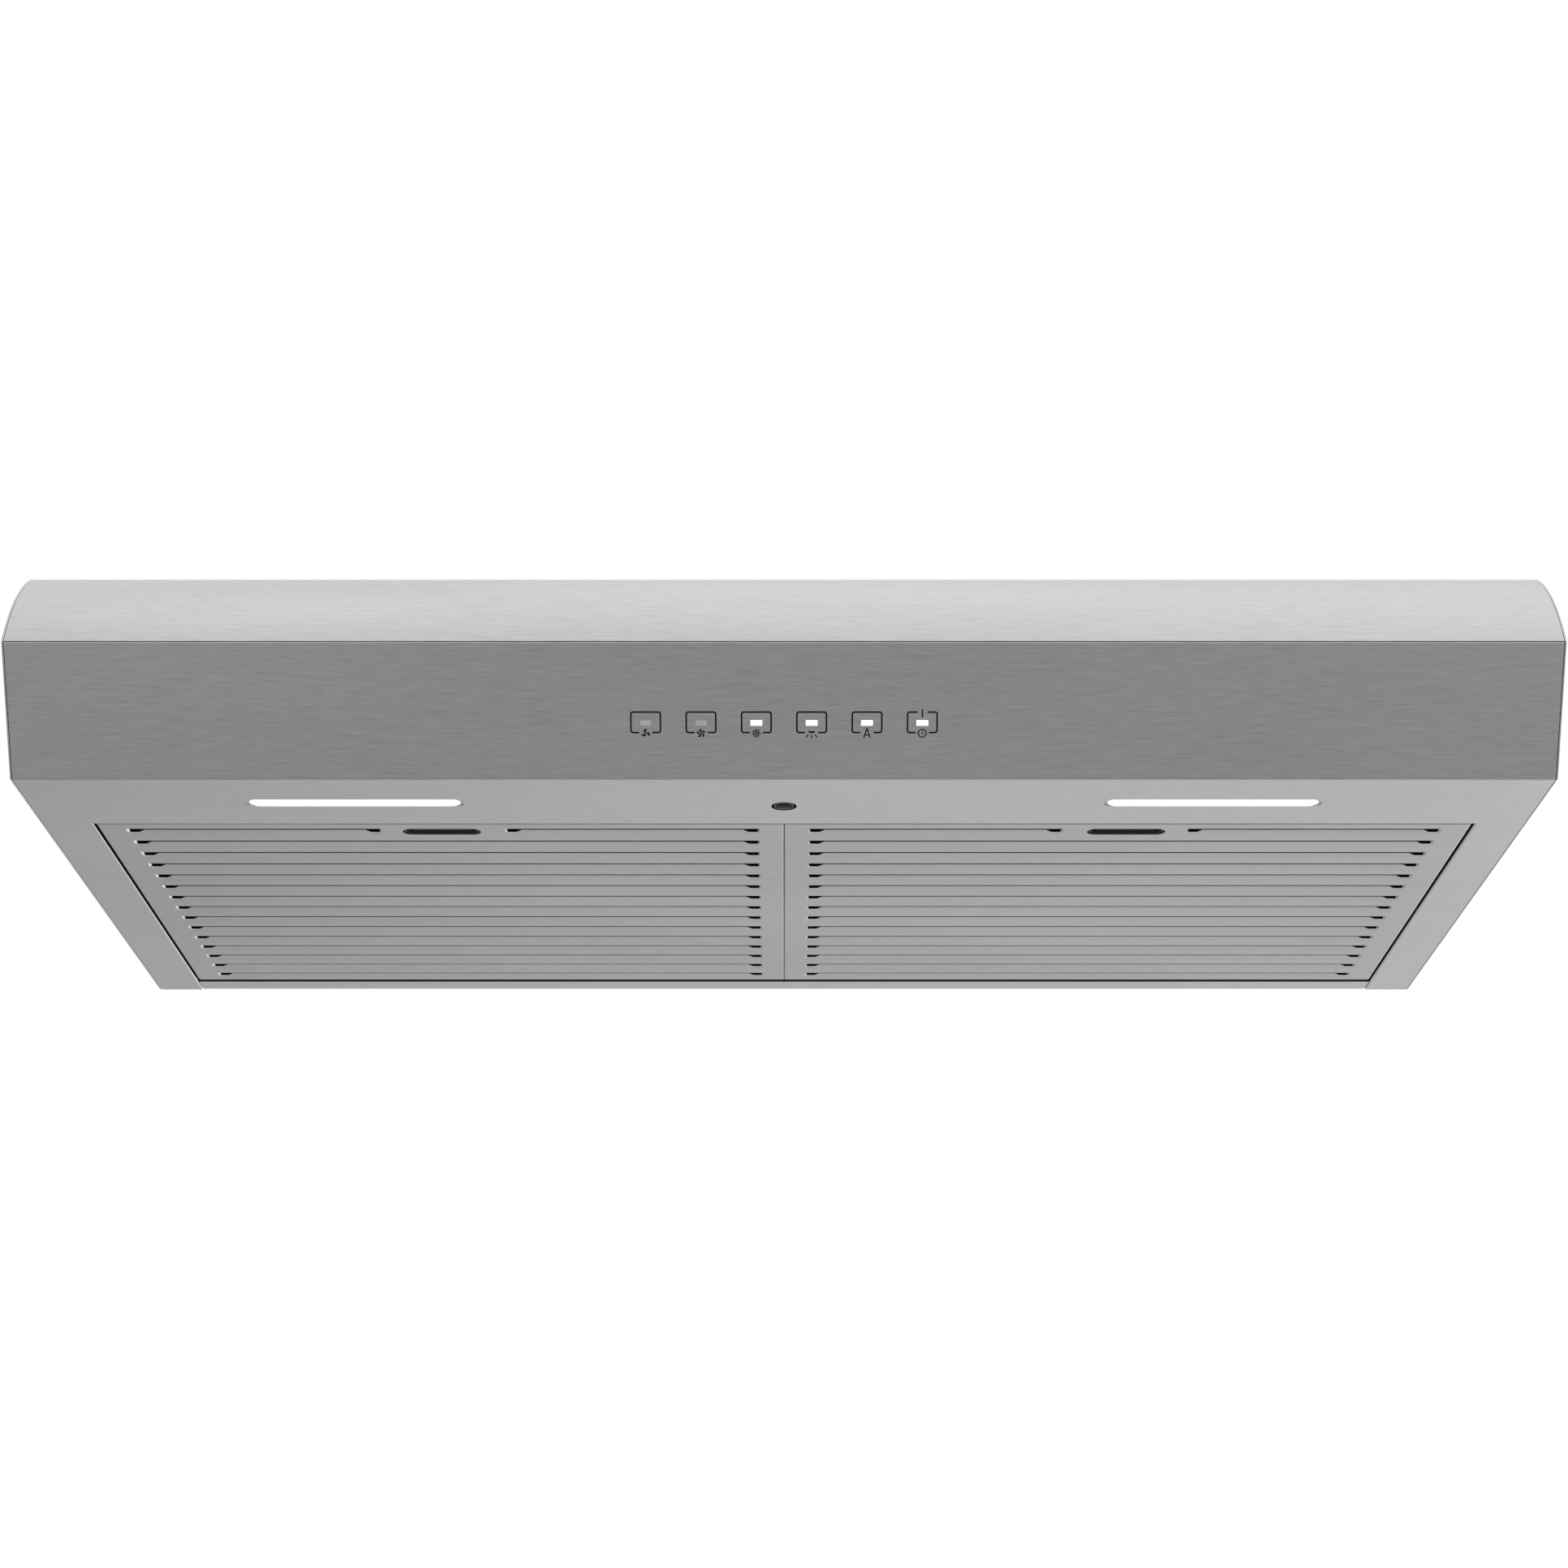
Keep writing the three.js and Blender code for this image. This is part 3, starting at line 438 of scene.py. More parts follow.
def metal(name, base, roughness):
    """Plain metal with a fine grain."""
    s = Shader(name, base, 1.0, roughness)
    speck = s.noise((700, 700, 700), 3.0)
    s.feed(s.ramp(speck, scaled(base, 0.92), scaled(base, 1.05)), "Base Color")
    s.feed(s.ramp(speck, roughness - 0.05, roughness + 0.08), "Roughness")
    s.bump(speck, 0.06, 0.00008)
    return s.material


def moulded(name, base, roughness, texture=2200, strength=0.12, **sockets):
    """Plastic with a fine spark-eroded texture and slight mottling."""
    s = Shader(name, base, 0.0, roughness, **sockets)
    fine = s.noise((texture, texture, texture), 2.0)
    broad = s.noise((40, 40, 40), 2.0)
    s.feed(s.ramp(broad, scaled(base, 0.9), scaled(base, 1.08)), "Base Color")
    s.feed(s.ramp(fine, roughness - 0.06, roughness + 0.08), "Roughness")
    s.bump(fine, strength, 0.0001)
    return s.material


def expanded(name, strand, hole):
    """Expanded mesh drawn on a sheet: bright strands round dark diamonds, the holes' darkness painted on
    as shade.
    """
    s = Shader(name, strand, 0.9, 0.45)
    diagonal = s.after(s.place(), "ShaderNodeMapping", Rotation=(0, 0, math.radians(45)),
                       Scale=(260, 260, 260))
    axes = s.after(diagonal.outputs["Vector"], "ShaderNodeSeparateXYZ")
    waves = [s.math("ABSOLUTE", s.math("SINE", axes.outputs[axis], 0.0), 0.0) for axis in "XY"]
    web = s.math("MINIMUM", *waves)
    # the holes are not cut; their dark colour is painted shade
    s.feed(s.ramp(web, strand, hole), "Base Color")
    s.feed(s.ramp(web, 0.35, 0.8), "Roughness")
    s.bump(web, 0.5, -0.0005)
    return s.material


def lit(name, color, strength, base=(0.9, 0.9, 0.88)):
    """A milky diffuser with its light on, a little uneven along its length."""
    s = Shader(name, base, 0.0, 0.35, **{"Emission Strength": strength, "Emission Color": (*color, 1)})
    broad = s.noise((30, 60, 60), 1.0)
    s.feed(s.ramp(broad, scaled(color, 0.96), color), "Emission Color")
    return s.material


STEEL = brushed("brushed_shell", (0.62, 0.62, 0.615), 0.3, 0.6)
FILTER_STEEL = brushed("filter_steel", (0.56, 0.56, 0.557), 0.34, 0.5)
ZINC = galvanised("galvanised", (0.56, 0.575, 0.585))
ALUMINIUM = metal("aluminium", (0.72, 0.73, 0.74), 0.38)
FASTENER = metal("fasteners", (0.7, 0.71, 0.72), 0.26)
BLACK = moulded("black_plastic", (0.022, 0.022, 0.024), 0.42)
WHITE = moulded("white_plastic", (0.78, 0.78, 0.76), 0.4, 1500, 0.08)
LIGHT_LENS_MAT = lit("light_lens", (1.0, 1.0, 0.985), 1.0)
WINDOW_LIT = lit("window_lit", (1.0, 1.0, 1.0), 1.0)
WINDOW_DIM = moulded("window_dim", (0.44, 0.44, 0.44), 0.6, 3000, 0.02)
SMOKED = moulded("smoked_lens", (0.012, 0.012, 0.014), 0.2, 800, 0.01,
                 **{"Specular IOR Level": 0.03})
BOARD = moulded("circuit_board", (0.05, 0.22, 0.11), 0.4, 900, 0.2)
LATCH_PLASTIC = moulded("latch_plastic", (0.03, 0.03, 0.031), 0.38)
# grey of the lights' bezels; on the sensor's ring the same grey is a painted highlight
BEZEL_AND_HIGHLIGHT_GREY = moulded("bezel_and_painted_highlight_grey", (0.46, 0.46, 0.45), 0.4, 1800, 0.06)
INK_BLACK = moulded("printed_ink", (0.008, 0.008, 0.009), 0.6, 3000, 0.05,
                    **{"Specular IOR Level": 0.15})
# the dark second colour is painted shade in the mesh's holes
EXPANDED = expanded("expanded_mesh", (0.42, 0.43, 0.44), (0.03, 0.03, 0.03))
# painted shade: black for the cut edges and for the faces deep in the gaps round the filters, where only
# shade falls
GAP_SHADE_BLACK = moulded("painted_gap_shade", (0.012, 0.012, 0.012), 0.75, 900, 0.2)


# ---- camera, world, floor and lights ----
CAMERA_AHEAD = 1626  # in front of the foremost edge
CAMERA_BELOW = 599.4  # under the bottom surround
CAMERA_PITCH = 19.64
CAMERA_LENS = 69.32
FLOOR_Z = -2600
FLOOR_HALF = 40000


def make_camera():
    """Straight in front of the hood and below it, looking up."""
    camera = bpy.data.objects.new("camera", bpy.data.cameras.new("camera"))
    camera.data.lens = CAMERA_LENS
    camera.data.sensor_width = 36
    camera.data.clip_end = 100
    camera.location = Vector((0, FRONT - CAMERA_AHEAD, BOTTOM - CAMERA_BELOW)) * MM
    camera.rotation_euler = (math.radians(90 + CAMERA_PITCH), 0, 0)
    bpy.context.scene.collection.objects.link(camera)
    bpy.context.scene.camera = camera


# the room's light: its level, and how much more it has behind, above, and behind on the right
ROOM_LEVEL = 0.65
ROOM_BEHIND = 0.10
ROOM_ABOVE = 0.29
ROOM_BEHIND_RIGHT = 0.37
# soft windows in the room: direction, cosine where the glow starts and where it is full, strength
ROOM_WINDOWS = (
    ((0.45, 0.89, -0.05), 0.965, 0.99, 1.5),
    ((0.0, 0.72, -0.7), 0.93, 0.985, 0.25),
    ((0.0, -0.93, 0.36), 0.87, 0.98, 0.32),
    ((1.0, 0.0, 0.2), 0.5, 0.95, 0.3),
)


def make_world():
    """White to the camera; to the object, a soft room that is brightest above, behind and to the right."""
    world = bpy.data.worlds.new("studio")
    bpy.context.scene.world = world
    world.use_nodes = True
    w = Nodes(world.node_tree)
    place = w.add("ShaderNodeTexCoord").outputs["Generated"]
    axes = w.after(place, "ShaderNodeSeparateXYZ")
    across, along, up = (axes.outputs[axis] for axis in "XYZ")
    level = w.math("ADD", w.math("MULTIPLY", along, ROOM_BEHIND), ROOM_LEVEL)
    level = w.math("ADD", w.math("MULTIPLY", up, ROOM_ABOVE), level)
    behind = w.math("MULTIPLY", w.math("MAXIMUM", along, 0.0), w.math("SUBTRACT", 1.0, up))
    behind_right = w.math("MULTIPLY", behind, across)
    level = w.math("ADD", w.math("MULTIPLY", behind_right, ROOM_BEHIND_RIGHT), level)
    for direction, rim, core, strength in ROOM_WINDOWS:
        towards = w.add("ShaderNodeVectorMath", operation="DOT_PRODUCT")
        towards.inputs[1].default_value = Vector(direction).normalized()
        w.link(place, towards.inputs[0])
        window = w.add("ShaderNodeMapRange", interpolation_type="SMOOTHSTEP")
        w.set(window, **{"From Min": rim, "From Max": core, "To Max": strength})
        w.link(towards.outputs["Value"], window.inputs["Value"])
        level = w.math("ADD", window.outputs["Result"], level)
    room = w.tree.nodes["Background"]
    w.link(level, room.inputs["Strength"])
    white = w.add("ShaderNodeBackground")
    w.set(white, Strength=1.0)
    mix = w.add("ShaderNodeMixShader")
    w.link(w.add("ShaderNodeLightPath").outputs["Is Camera Ray"], mix.inputs["Fac"])
    for background, socket in ((room, 1), (white, 2)):
        w.set(background, Color=(1, 1, 1, 1))
        w.link(background.outputs["Background"], mix.inputs[socket])
    w.link(mix.outputs["Shader"], w.tree.nodes["World Output"].inputs["Surface"])
    bpy.context.scene.view_settings.view_transform = "Standard"


def make_floor():
    """A pale floor far below, kept out of the steel's reflections."""
    s = Shader("pale_floor", (0.82, 0.82, 0.81), 0.0, 0.7)
    s.feed(s.ramp(s.noise((3, 3, 3), 3.0), (0.8, 0.8, 0.79), (0.84, 0.84, 0.83)), "Base Color")
    bm = bmesh.new()
    bmesh.ops.create_grid(bm, x_segments=2, y_segments=2, size=FLOOR_HALF)
    bmesh.ops.translate(bm, verts=bm.verts, vec=(0, 0, FLOOR_Z))
    floor = raw("floor", bm)
    floor.data.materials.append(s.material)
    floor.visible_glossy = False


def make_lights():
    """A wide soft box overhead and a smaller fill from the front right."""
    for name, place, size, power in (("overhead", (0.4, -0.2, 2.4), 2.6, 3),
                                     ("fill", (2.2, -2.2, 0.6), 1.6, 2)):
        light = bpy.data.lights.new(name, "AREA")
        light.energy = power
        light.size = size
        lamp = bpy.data.objects.new(name, light)
        lamp.location = place
        lamp.rotation_euler = (-Vector(place)).to_track_quat("-Z", "Y").to_euler()
        lamp.visible_camera = False
        bpy.context.scene.collection.objects.link(lamp)


make_camera()
make_world()
make_floor()
make_lights()


# ---- outer casing ----
# from the control face's own frame (x across, y up the face, z out of it) to the hood's
FACE_UP = (EDGE_A - FOOT_B).normalized()
FACE = (Matrix.Translation((0, FOOT_B.x, FOOT_B.y))
        @ Matrix.Rotation(math.atan2(FACE_UP.y, FACE_UP.x), 4, "X"))


def sheet_loop(path, thickness):
    """The closed section of a sheet that follows a path."""
    return path + offset(path, thickness)[::-1]


def zone_x(zone):
    return (zone - (ZONES - 1) / 2) * ZONE_PITCH


def sheet_object(name, bm, thickness, facing, even=True):
    """A sheet whose thickness goes behind the drawn surface; its largest face looks roughly to facing."""
    bmesh.ops.recalc_face_normals(bm, faces=bm.faces)
    if max(bm.faces, key=lambda face: face.calc_area()).normal.dot(Vector(facing)) < 0:
        bmesh.ops.reverse_faces(bm, faces=bm.faces)
    obj = as_object(name, bm)
    obj.data.materials.append(STEEL)
    obj.data.materials.append(GAP_SHADE_BLACK)
    sheet = obj.modifiers.new("sheet", "SOLIDIFY")
    sheet.thickness = thickness * MM
    sheet.offset = -1
    sheet.use_even_offset = even
    # the sheet's cut edges take the second slot's black: painted shade
    sheet.material_offset_rim = 1
    return applied(obj)


def bend(bm, reach, chosen):
    """Rounds the chosen folds of a sheet."""
    folds = [edge for edge in bm.edges
             if len(edge.link_faces) == 2 and chosen(*(v.co for v in edge.verts))]
    round_edges(bm, folds, reach, 6)


BEND_EDGE, BEND_FOOT, BEND_LIP = 1.15, 1.6, 1.5  # how far each fold's rounding reaches from it
FLANGE = 14  # depth of the shell's top flange
TURN_IN = 12  # depth of the front panel's flanges
NEAR = 0.01  # places closer than this count as the same


def shell_surface(bm):
    """Top flange, slanted control face, bottom surround and the lips round its opening, before bending."""
    rows = ((FRONT + FLANGE, EDGE_A.y), tuple(EDGE_A), tuple(FOOT_B))
    left, right = ([bm.verts.new((side * INNER_HALF, y, z)) for y, z in rows] for side in (-1, 1))
    for i in range(2):
        bm.faces.new((left[i], right[i], right[i + 1], left[i + 1]))
    rear = BACK - 0.2
    opening = [bm.verts.new((side * OPENING_HALF, y, BOTTOM))
               for side, y in ((-1, rear), (-1, OPENING_FRONT), (1, OPENING_FRONT), (1, rear))]
    ends = [bm.verts.new((side * INNER_HALF, rear, BOTTOM)) for side in (-1, 1)]
    bm.faces.new([left[2], right[2], ends[1]] + opening[::-1] + [ends[0]])
    lip = [bm.verts.new(v.co + Vector((0, 0, LIP))) for v in opening]
    for i in range(3):
        bm.faces.new((opening[i], opening[i + 1], lip[i + 1], lip[i]))


def build_shell():
    """The control face and bottom surround: one bent sheet with slots, a sensor hole and windows."""
    def at_y(y):
        return lambda a, b: abs(a.y - y) < NEAR and abs(b.y - y) < NEAR

    def on_lip(v):
        return (abs(v.z - BOTTOM) < NEAR and v.y > OPENING_FRONT - NEAR
                and abs(v.x) < OPENING_HALF + NEAR)

    bm = bmesh.new()
    shell_surface(bm)
    bend(bm, BEND_EDGE, at_y(EDGE_A.x))
    bend(bm, BEND_FOOT, at_y(FOOT_B.x))
    bend(bm, BEND_LIP, lambda a, b: on_lip(a) and on_lip(b))
    shell = sheet_object("lower_shell_skin", bm, SHELL_SKIN, (0, -0.8, -0.6))
    cutters = [swept("cutter", sweep_z, stadium(*LIGHT_SLOT), BOTTOM - 2, BOTTOM + 4,
                     (side * LIGHT_X, LIGHT_Y)) for side in (-1, 1)]
    cutters.append(swept("cutter", sweep_z, circle(SENSOR_R, 40), BOTTOM - 2, BOTTOM + 4,
                         (0, SENSOR_Y)))
    bm = bmesh.new()
    half, tall = (size / 2 + WINDOW_GAP for size in WINDOW)
    for x in map(zone_x, range(ZONES)):
        cuboid(bm, x - half, x + half, WINDOW_UP - tall, WINDOW_UP + tall, -3, 3)
    cutters.append(raw("windows", bm, FACE))
    combine(shell, cutters, "DIFFERENCE")
    # the lips' upright faces inside the opening are painted black as shade
    paint_gap_shade(shell, lambda c, n: c.z > BOTTOM + 1.3 and c.y > OPENING_FRONT - 2 and abs(n.z) < 0.3
            and abs(c.x) < OPENING_HALF + 0.2)
    piece(shell, STEEL, ["lower_shell"], edge=GAP_SHADE_BLACK)


def paint_gap_shade(obj, chosen):
    """Marks the faces painted black as shade in the gaps, chosen by centre and normal in millimetres."""
    for polygon in obj.data.polygons:
        if chosen(polygon.center / MM, polygon.normal):
            polygon.material_index = 1


def build_front_panel():
    """The curved upper sheet, turned in at its top and foot."""
    low = EDGE_A + Vector((0, FRONT_SEAM))
    curve = arc_points(low, TOP_T, CURVE_R, 48)
    path = [Vector((TOP_T.x, -TURN_IN))] + curve[::-1] + [Vector((low.x + TURN_IN, low.y))]
    radii = [0.5] + [0] * (len(curve) - 2) + [0.25]
    panel = swept("front_panel_skin", sweep_x, sheet_loop(fillet(path, radii, 5), THIN),
                  -INNER_HALF, INNER_HALF)
    piece(rounded(panel, 0.2, 2, 70), STEEL, ["front_panel"], sharp=30)


def build_side_panels():
    """Flat sheets that follow the whole profile."""
    outline = arc_points(EDGE_A, TOP_T, CURVE_R, 48)
    outline += [Vector((BACK, 0)), Vector((BACK, BOTTOM)), FOOT_B]
    for side, name in ((-1, "left"), (1, "right")):
        panel = swept(f"{name}_side_skin", sweep_x, outline, side * (HALF - SIDE_SHEET), side * HALF)
        piece(rounded(panel, 0.55, 4, 50), STEEL,
              [f"{name}_side_panel"], sharp=30)


def build_rail():
    """The folded strip that closes the opening at the wall."""
    path = fillet([Vector((rail_low.y, rail_high.z)), Vector((rail_low.y, rail_low.z)),
                   Vector((rail_high.y, rail_low.z))], (0.8,), 6)
    rail = swept("rear_rail_skin", sweep_x, sheet_loop(path, THIN), rail_low.x, rail_high.x)
    rounded(rail, 0.25, 2, 60)
    # the rail's front face, deep in the gap behind the filters, is painted black as shade
    paint_gap_shade(rail, lambda c, n: c.y < rail_low.y + 0.3 and n.y < -0.6)
    piece(rail, STEEL, ["rear_rail"], edge=GAP_SHADE_BLACK)


build_shell()
build_front_panel()
build_side_panels()
build_rail()


# ---- filters ----
FILTER_SHEET = 0.8
FILTER_REAR = FRONT + 474
FILTER_INNER = 0.14  # from the middle to each filter's inner rim
LATCH_X = 211.4
LATCH_Y = FRONT + 141.5
FINGER = (48.3, 11.1)
LOUVRE_ROWS = 15
LOUVRE_FIRST = FRONT + 135.7  # front edge of the first slot
LOUVRE_PITCH = 22.87
LOUVRE_SPAN = (15.3, 405.5)
LOUVRE_BREAK = (172, 249)
LOUVRE_SLIT = 6
LOUVRE_END = 8.6  # height of the slot at its ends
LOUVRE_PRESS = 12.5  # how far behind the slot's front edge the pressed slat is level again
LOUVRE_RAISE = 1.4  # how far the slat's front edge is pressed in
END_WALL = 1.0  # width of the slot's closed ends
END_FLAT = 6.5  # how much of each end is at full height
END_SLOPE = 3.5  # and how far it then narrows to the slot
RIM_BEND = 0.9
PAD_CLEAR = 3.4  # from the grille's face to the pad's lowest folds
PAD_NOTCH = (38, 32)  # what the pad leaves free beside the latch and behind it


def louvre_spans(row):
    """The stretches in |x| where a row of louvres is open."""
    if row == 0:
        return [(LOUVRE_SPAN[0], LOUVRE_BREAK[0]), (LOUVRE_BREAK[1], LOUVRE_SPAN[1])]
    return [LOUVRE_SPAN]


def grille_columns():
    """Where the grid's columns stand, in |x|."""
    stops = {FILTER_INNER, filter_high.x}
    for start, stop in louvre_spans(0):
        for step in (0, END_WALL, END_FLAT, END_FLAT + END_SLOPE):
            stops |= {start + step, stop - step}
    return sorted(stops)


def grille_surface(bm, side):
    """The louvred sheet's outer surface: a grid, open at the slots, each slat's front edge pressed in."""
    columns = grille_columns()
    lines = [(filter_low.y, None, None)]
    for row in range(LOUVRE_ROWS):
        y = LOUVRE_FIRST + row * LOUVRE_PITCH
        lines += [(y, row, "slit"), (y + LOUVRE_SLIT, row, "end"), (y + LOUVRE_END, row, "ramp"),
                  (y + LOUVRE_PRESS, row, None)]
    lines.append((FILTER_REAR, None, None))

    def height(x, y, row, band):
        if row is None or band in (None, "slit") or not any(a < x < b for a, b in louvre_spans(row)):
            return 0
        front = LOUVRE_FIRST + row * LOUVRE_PITCH
        return LOUVRE_RAISE * (front + LOUVRE_PRESS - y) / (LOUVRE_PRESS - LOUVRE_SLIT)

    grid = [[bm.verts.new((side * x, y, BOTTOM + height(x, y, row, band))) for x in columns]
            for y, row, band in lines]
    for j, (_, row, band) in enumerate(lines[:-1]):
        for i in range(len(columns) - 1):
            low, high = columns[i], columns[i + 1]
            corners = [grid[j][i], grid[j][i + 1], grid[j + 1][i + 1], grid[j + 1][i]]
            spans = louvre_spans(row) if row is not None else []
            inside = next(((a, b) for a, b in spans if low >= a and high <= b), None)
            at_wall = inside and (low == inside[0] or high == inside[1])
            if band == "slit" and inside:
                if at_wall:
                    inner = 1 if low == inside[0] else 0
                    corners[inner] = bm.verts.new(corners[inner].co + Vector((0, 0, LOUVRE_RAISE)))
                    bm.faces.new(corners)
                continue
            if band == "end" and inside and not at_wall:
                if min(high - inside[0], inside[1] - low) <= END_FLAT + NEAR:
                    continue
                if abs(low - inside[0] - END_FLAT) < NEAR:
                    corners.pop(0)
                elif abs(inside[1] - END_FLAT - high) < NEAR:
                    corners.pop(1)
            bm.faces.new(corners)
    bmesh.ops.delete(bm, geom=[v for v in bm.verts if not v.link_faces], context="VERTS")


def grille_rim(bm, side):
    """Turns the sheet's outer edges up into a rim with rounded bends."""
    x_edges = (side * FILTER_INNER, side * filter_high.x)
    y_edges = (filter_low.y, FILTER_REAR)

    def at(value, stops):
        return any(abs(value - stop) < NEAR for stop in stops)

    def outer(edge):
        a, b = (v.co for v in edge.verts)
        return any(abs(a.x - x) < NEAR and abs(b.x - x) < NEAR for x in x_edges) or any(
            abs(a.y - y) < NEAR and abs(b.y - y) < NEAR for y in y_edges)

    border = [edge for edge in bm.edges if edge.is_boundary and outer(edge)]
    made = bmesh.ops.extrude_edge_only(bm, edges=border)["geom"]
    bmesh.ops.translate(bm, verts=[g for g in made if isinstance(g, bmesh.types.BMVert)],
                        vec=(0, 0, filter_high.z - BOTTOM))
    upright = [edge for edge in bm.edges if abs(edge.verts[0].co.z - edge.verts[1].co.z) > 5
               and all(at(v.co.x, x_edges) for v in edge.verts) and at(edge.verts[0].co.y, y_edges)]
    round_edges(bm, border + upright, RIM_BEND, 5)


def build_grille(name, side):
    """The louvred sheet with its rim and finger slot; nothing of it reaches below the surround."""
    bm = bmesh.new()
    grille_surface(bm, side)
    grille_rim(bm, side)
    grille = sheet_object(f"{name}_grille_skin", bm, FILTER_SHEET, (0, 0, -1), even=False)
    cutter = swept("cutter", sweep_z, stadium(*FINGER, 16), BOTTOM - 2, BOTTOM + 3,
                   (side * LATCH_X, LATCH_Y))
    rounded(combine(grille, [cutter], "DIFFERENCE"), 0.1, 2, 60)
    bm = bmesh.new()
    bm.from_mesh(grille.data)
    for vertex in bm.verts:
        vertex.co.z = max(vertex.co.z, BOTTOM * MM)
    bmesh.ops.dissolve_degenerate(bm, dist=0.002 * MM, edges=bm.edges)
    bm.to_mesh(grille.data)
    bm.free()
    # the rim's upright faces at the rear and outer side are painted black as shade, like the cut edges
    paint_gap_shade(grille, lambda c, n: c.z > BOTTOM + 1.2 and abs(n.z) < 0.3
            and (c.y > FILTER_REAR - 0.2 or abs(c.x) > filter_high.x - 0.2))
    piece(grille, FILTER_STEEL, [f"{name}_filter_grille"], f"{name}_filter",
          edge=GAP_SHADE_BLACK)


def build_latch(name, side):
    """A moulded latch: a cup with a finger ridge, a tongue in front and two spring tails behind."""
    low, high = span(f"{name}_filter_latch")
    x = side * LATCH_X
    cup_half, cup_front, cup_rear, roof = 22, LATCH_Y - 4, LATCH_Y + 4.6, high.z - 1.4
    body_half, body_front, body_rear = 30, LATCH_Y - 10.5, LATCH_Y + 9.5
    tongue_half, tail_out, tail_half = 14, 20, 3
    body = swept(f"{name}_latch_skin", cuboid, x - body_half, x + body_half, body_front, body_rear,
                 low.z, high.z)
    bm = bmesh.new()
    cuboid(bm, x - tongue_half, x + tongue_half, low.y, body_front + 1, BOTTOM + 3, BOTTOM + 6)
    for tail in (x - tail_out, x + tail_out):
        cuboid(bm, tail - tail_half, tail + tail_half, body_rear - 1, high.y, low.z + 2, low.z + 5)
    combine(body, [raw("extras", bm)], "UNION")
    cup = swept("cup", sweep_z, stadium(2 * cup_half, cup_rear - cup_front, 10), low.z - 1, roof,
                (x, (cup_front + cup_rear) / 2))
    combine(body, [cup], "DIFFERENCE")
    section = [Vector((cup_rear + behind, low.z + up))
               for behind, up in ((0.6, 1.0), (-0.2, 1.3), (-1.3, 2.6), (-0.2, 3.2), (0.6, 3.4))]
    ridge = swept("ridge", sweep_x, section, x - cup_half + 4, x + cup_half - 4)
    combine(body, [ridge], "UNION")
    rounded(body, 0.3, 2, 40)
    piece(body, LATCH_PLASTIC, [f"{name}_filter_latch"], f"{name}_latch")


def build_pad(name, side):
    """The grease pad: expanded mesh folded into pleats along X, cut away round the latch."""
    low, high = span(f"{name}_filter_mesh")
    floor, pitch, thick = BOTTOM + PAD_CLEAR, 5.6, 0.5
    top = high.z - thick - 0.1
    count = int((high.y - low.y - 1) / pitch)
    path = [Vector((low.y + 0.5 + i * pitch, floor if i % 2 else top)) for i in range(count + 1)]
    pad = swept(f"{name}_pad_skin", sweep_x, sheet_loop(path, thick / 2), low.x + 0.5, high.x - 0.5)
    x = side * LATCH_X
    notch = swept("notch", cuboid, x - PAD_NOTCH[0], x + PAD_NOTCH[0], low.y - 2,
                  LATCH_Y + PAD_NOTCH[1], BOTTOM - 1, high.z + 2)
    combine(pad, [notch], "DIFFERENCE")
    piece(pad, EXPANDED, [f"{name}_filter_mesh"], f"{name}_filter")


for filter_name, filter_side in (("left", -1), ("right", 1)):
    build_grille(filter_name, filter_side)
    build_pad(filter_name, filter_side)
    build_latch(filter_name, filter_side)


# ---- lights and sensor ----
def ring_prism(bm, outer, inner, z0, z1, at):
    """A solid between two outlines with as many points each."""
    ring(bm, [[(p.x + at[0], p.y + at[1], z) for p in loop]
              for loop, z in ((outer, z0), (inner, z0), (inner, z1), (outer, z1))])


def build_light(name, side):
    """A lit lens in its slot, with the grey edge of its housing round it."""
    at = (side * LIGHT_X, LIGHT_Y)
    inside = BOTTOM + SHEET
    outline, hole = (138, 20), [size + 0.3 for size in LIGHT_LENS]
    bezel = swept(f"{name}_light_bezel", ring_prism, stadium(*outline, 12), stadium(*hole, 12),
                  BOTTOM + SHELL_SKIN + 0.05, inside + 0.6, at)
    piece(rounded(bezel, 0.05, 2, 60), BEZEL_AND_HIGHLIGHT_GREY)
    lens = swept(f"{name}_lens_skin", sweep_z, stadium(*LIGHT_LENS, 16), BOTTOM + 0.25, inside + 3, at)
    piece(rounded(lens, 0.35, 4, 60), LIGHT_LENS_MAT,
          [f"{name}_light_lens"])


def build_sensor():
    """The dark dome behind the sensor hole, in a thin light grey ring towards the rear of its black tube;
    the ring's grey is a painted highlight on the dome's rim.
    """
    foot, reach, rise = BOTTOM + 0.15, DOME_R, 1.6
    centre = (0, SENSOR_Y + DOME_BEHIND)
    dome = [(reach * math.sin(angle), foot + rise * (1 - math.cos(angle)))
            for angle in (math.pi / 2 * i / 10 for i in range(11))]
    top = span("sensor_lens")[1].z
    lens = swept("sensor_dome", lathe, dome + [(reach, top), (0, top)], centre, 48)
    piece(lens, SMOKED, ["sensor_lens"])
    # the light grey ring stands in for the highlight on the dome's rim: a painted highlight
    band = [(reach - 0.1, foot + 0.5), (reach + 0.14, foot + 0.5), (reach + 0.14, foot + 0.8),
            (reach - 0.1, foot + 0.8)]
    rim = swept("sensor_highlight_ring", lathe, band + [band[0]], centre, 48)
    piece(rounded(rim, 0.05, 2, 50), BEZEL_AND_HIGHLIGHT_GREY)
    low, high = span("sensor_housing")
    bore, outside, lid = SENSOR_R + 0.6, 12, high.z - 2
    wall = [(bore, low.z), (outside, low.z), (outside, high.z), (0, high.z), (0, lid), (bore, lid)]
    tube = swept("sensor_tube", lathe, wall + [wall[0]], (0, SENSOR_Y), 48)
    piece(rounded(tube, 0.3, 2, 50), BLACK, ["sensor_housing"])


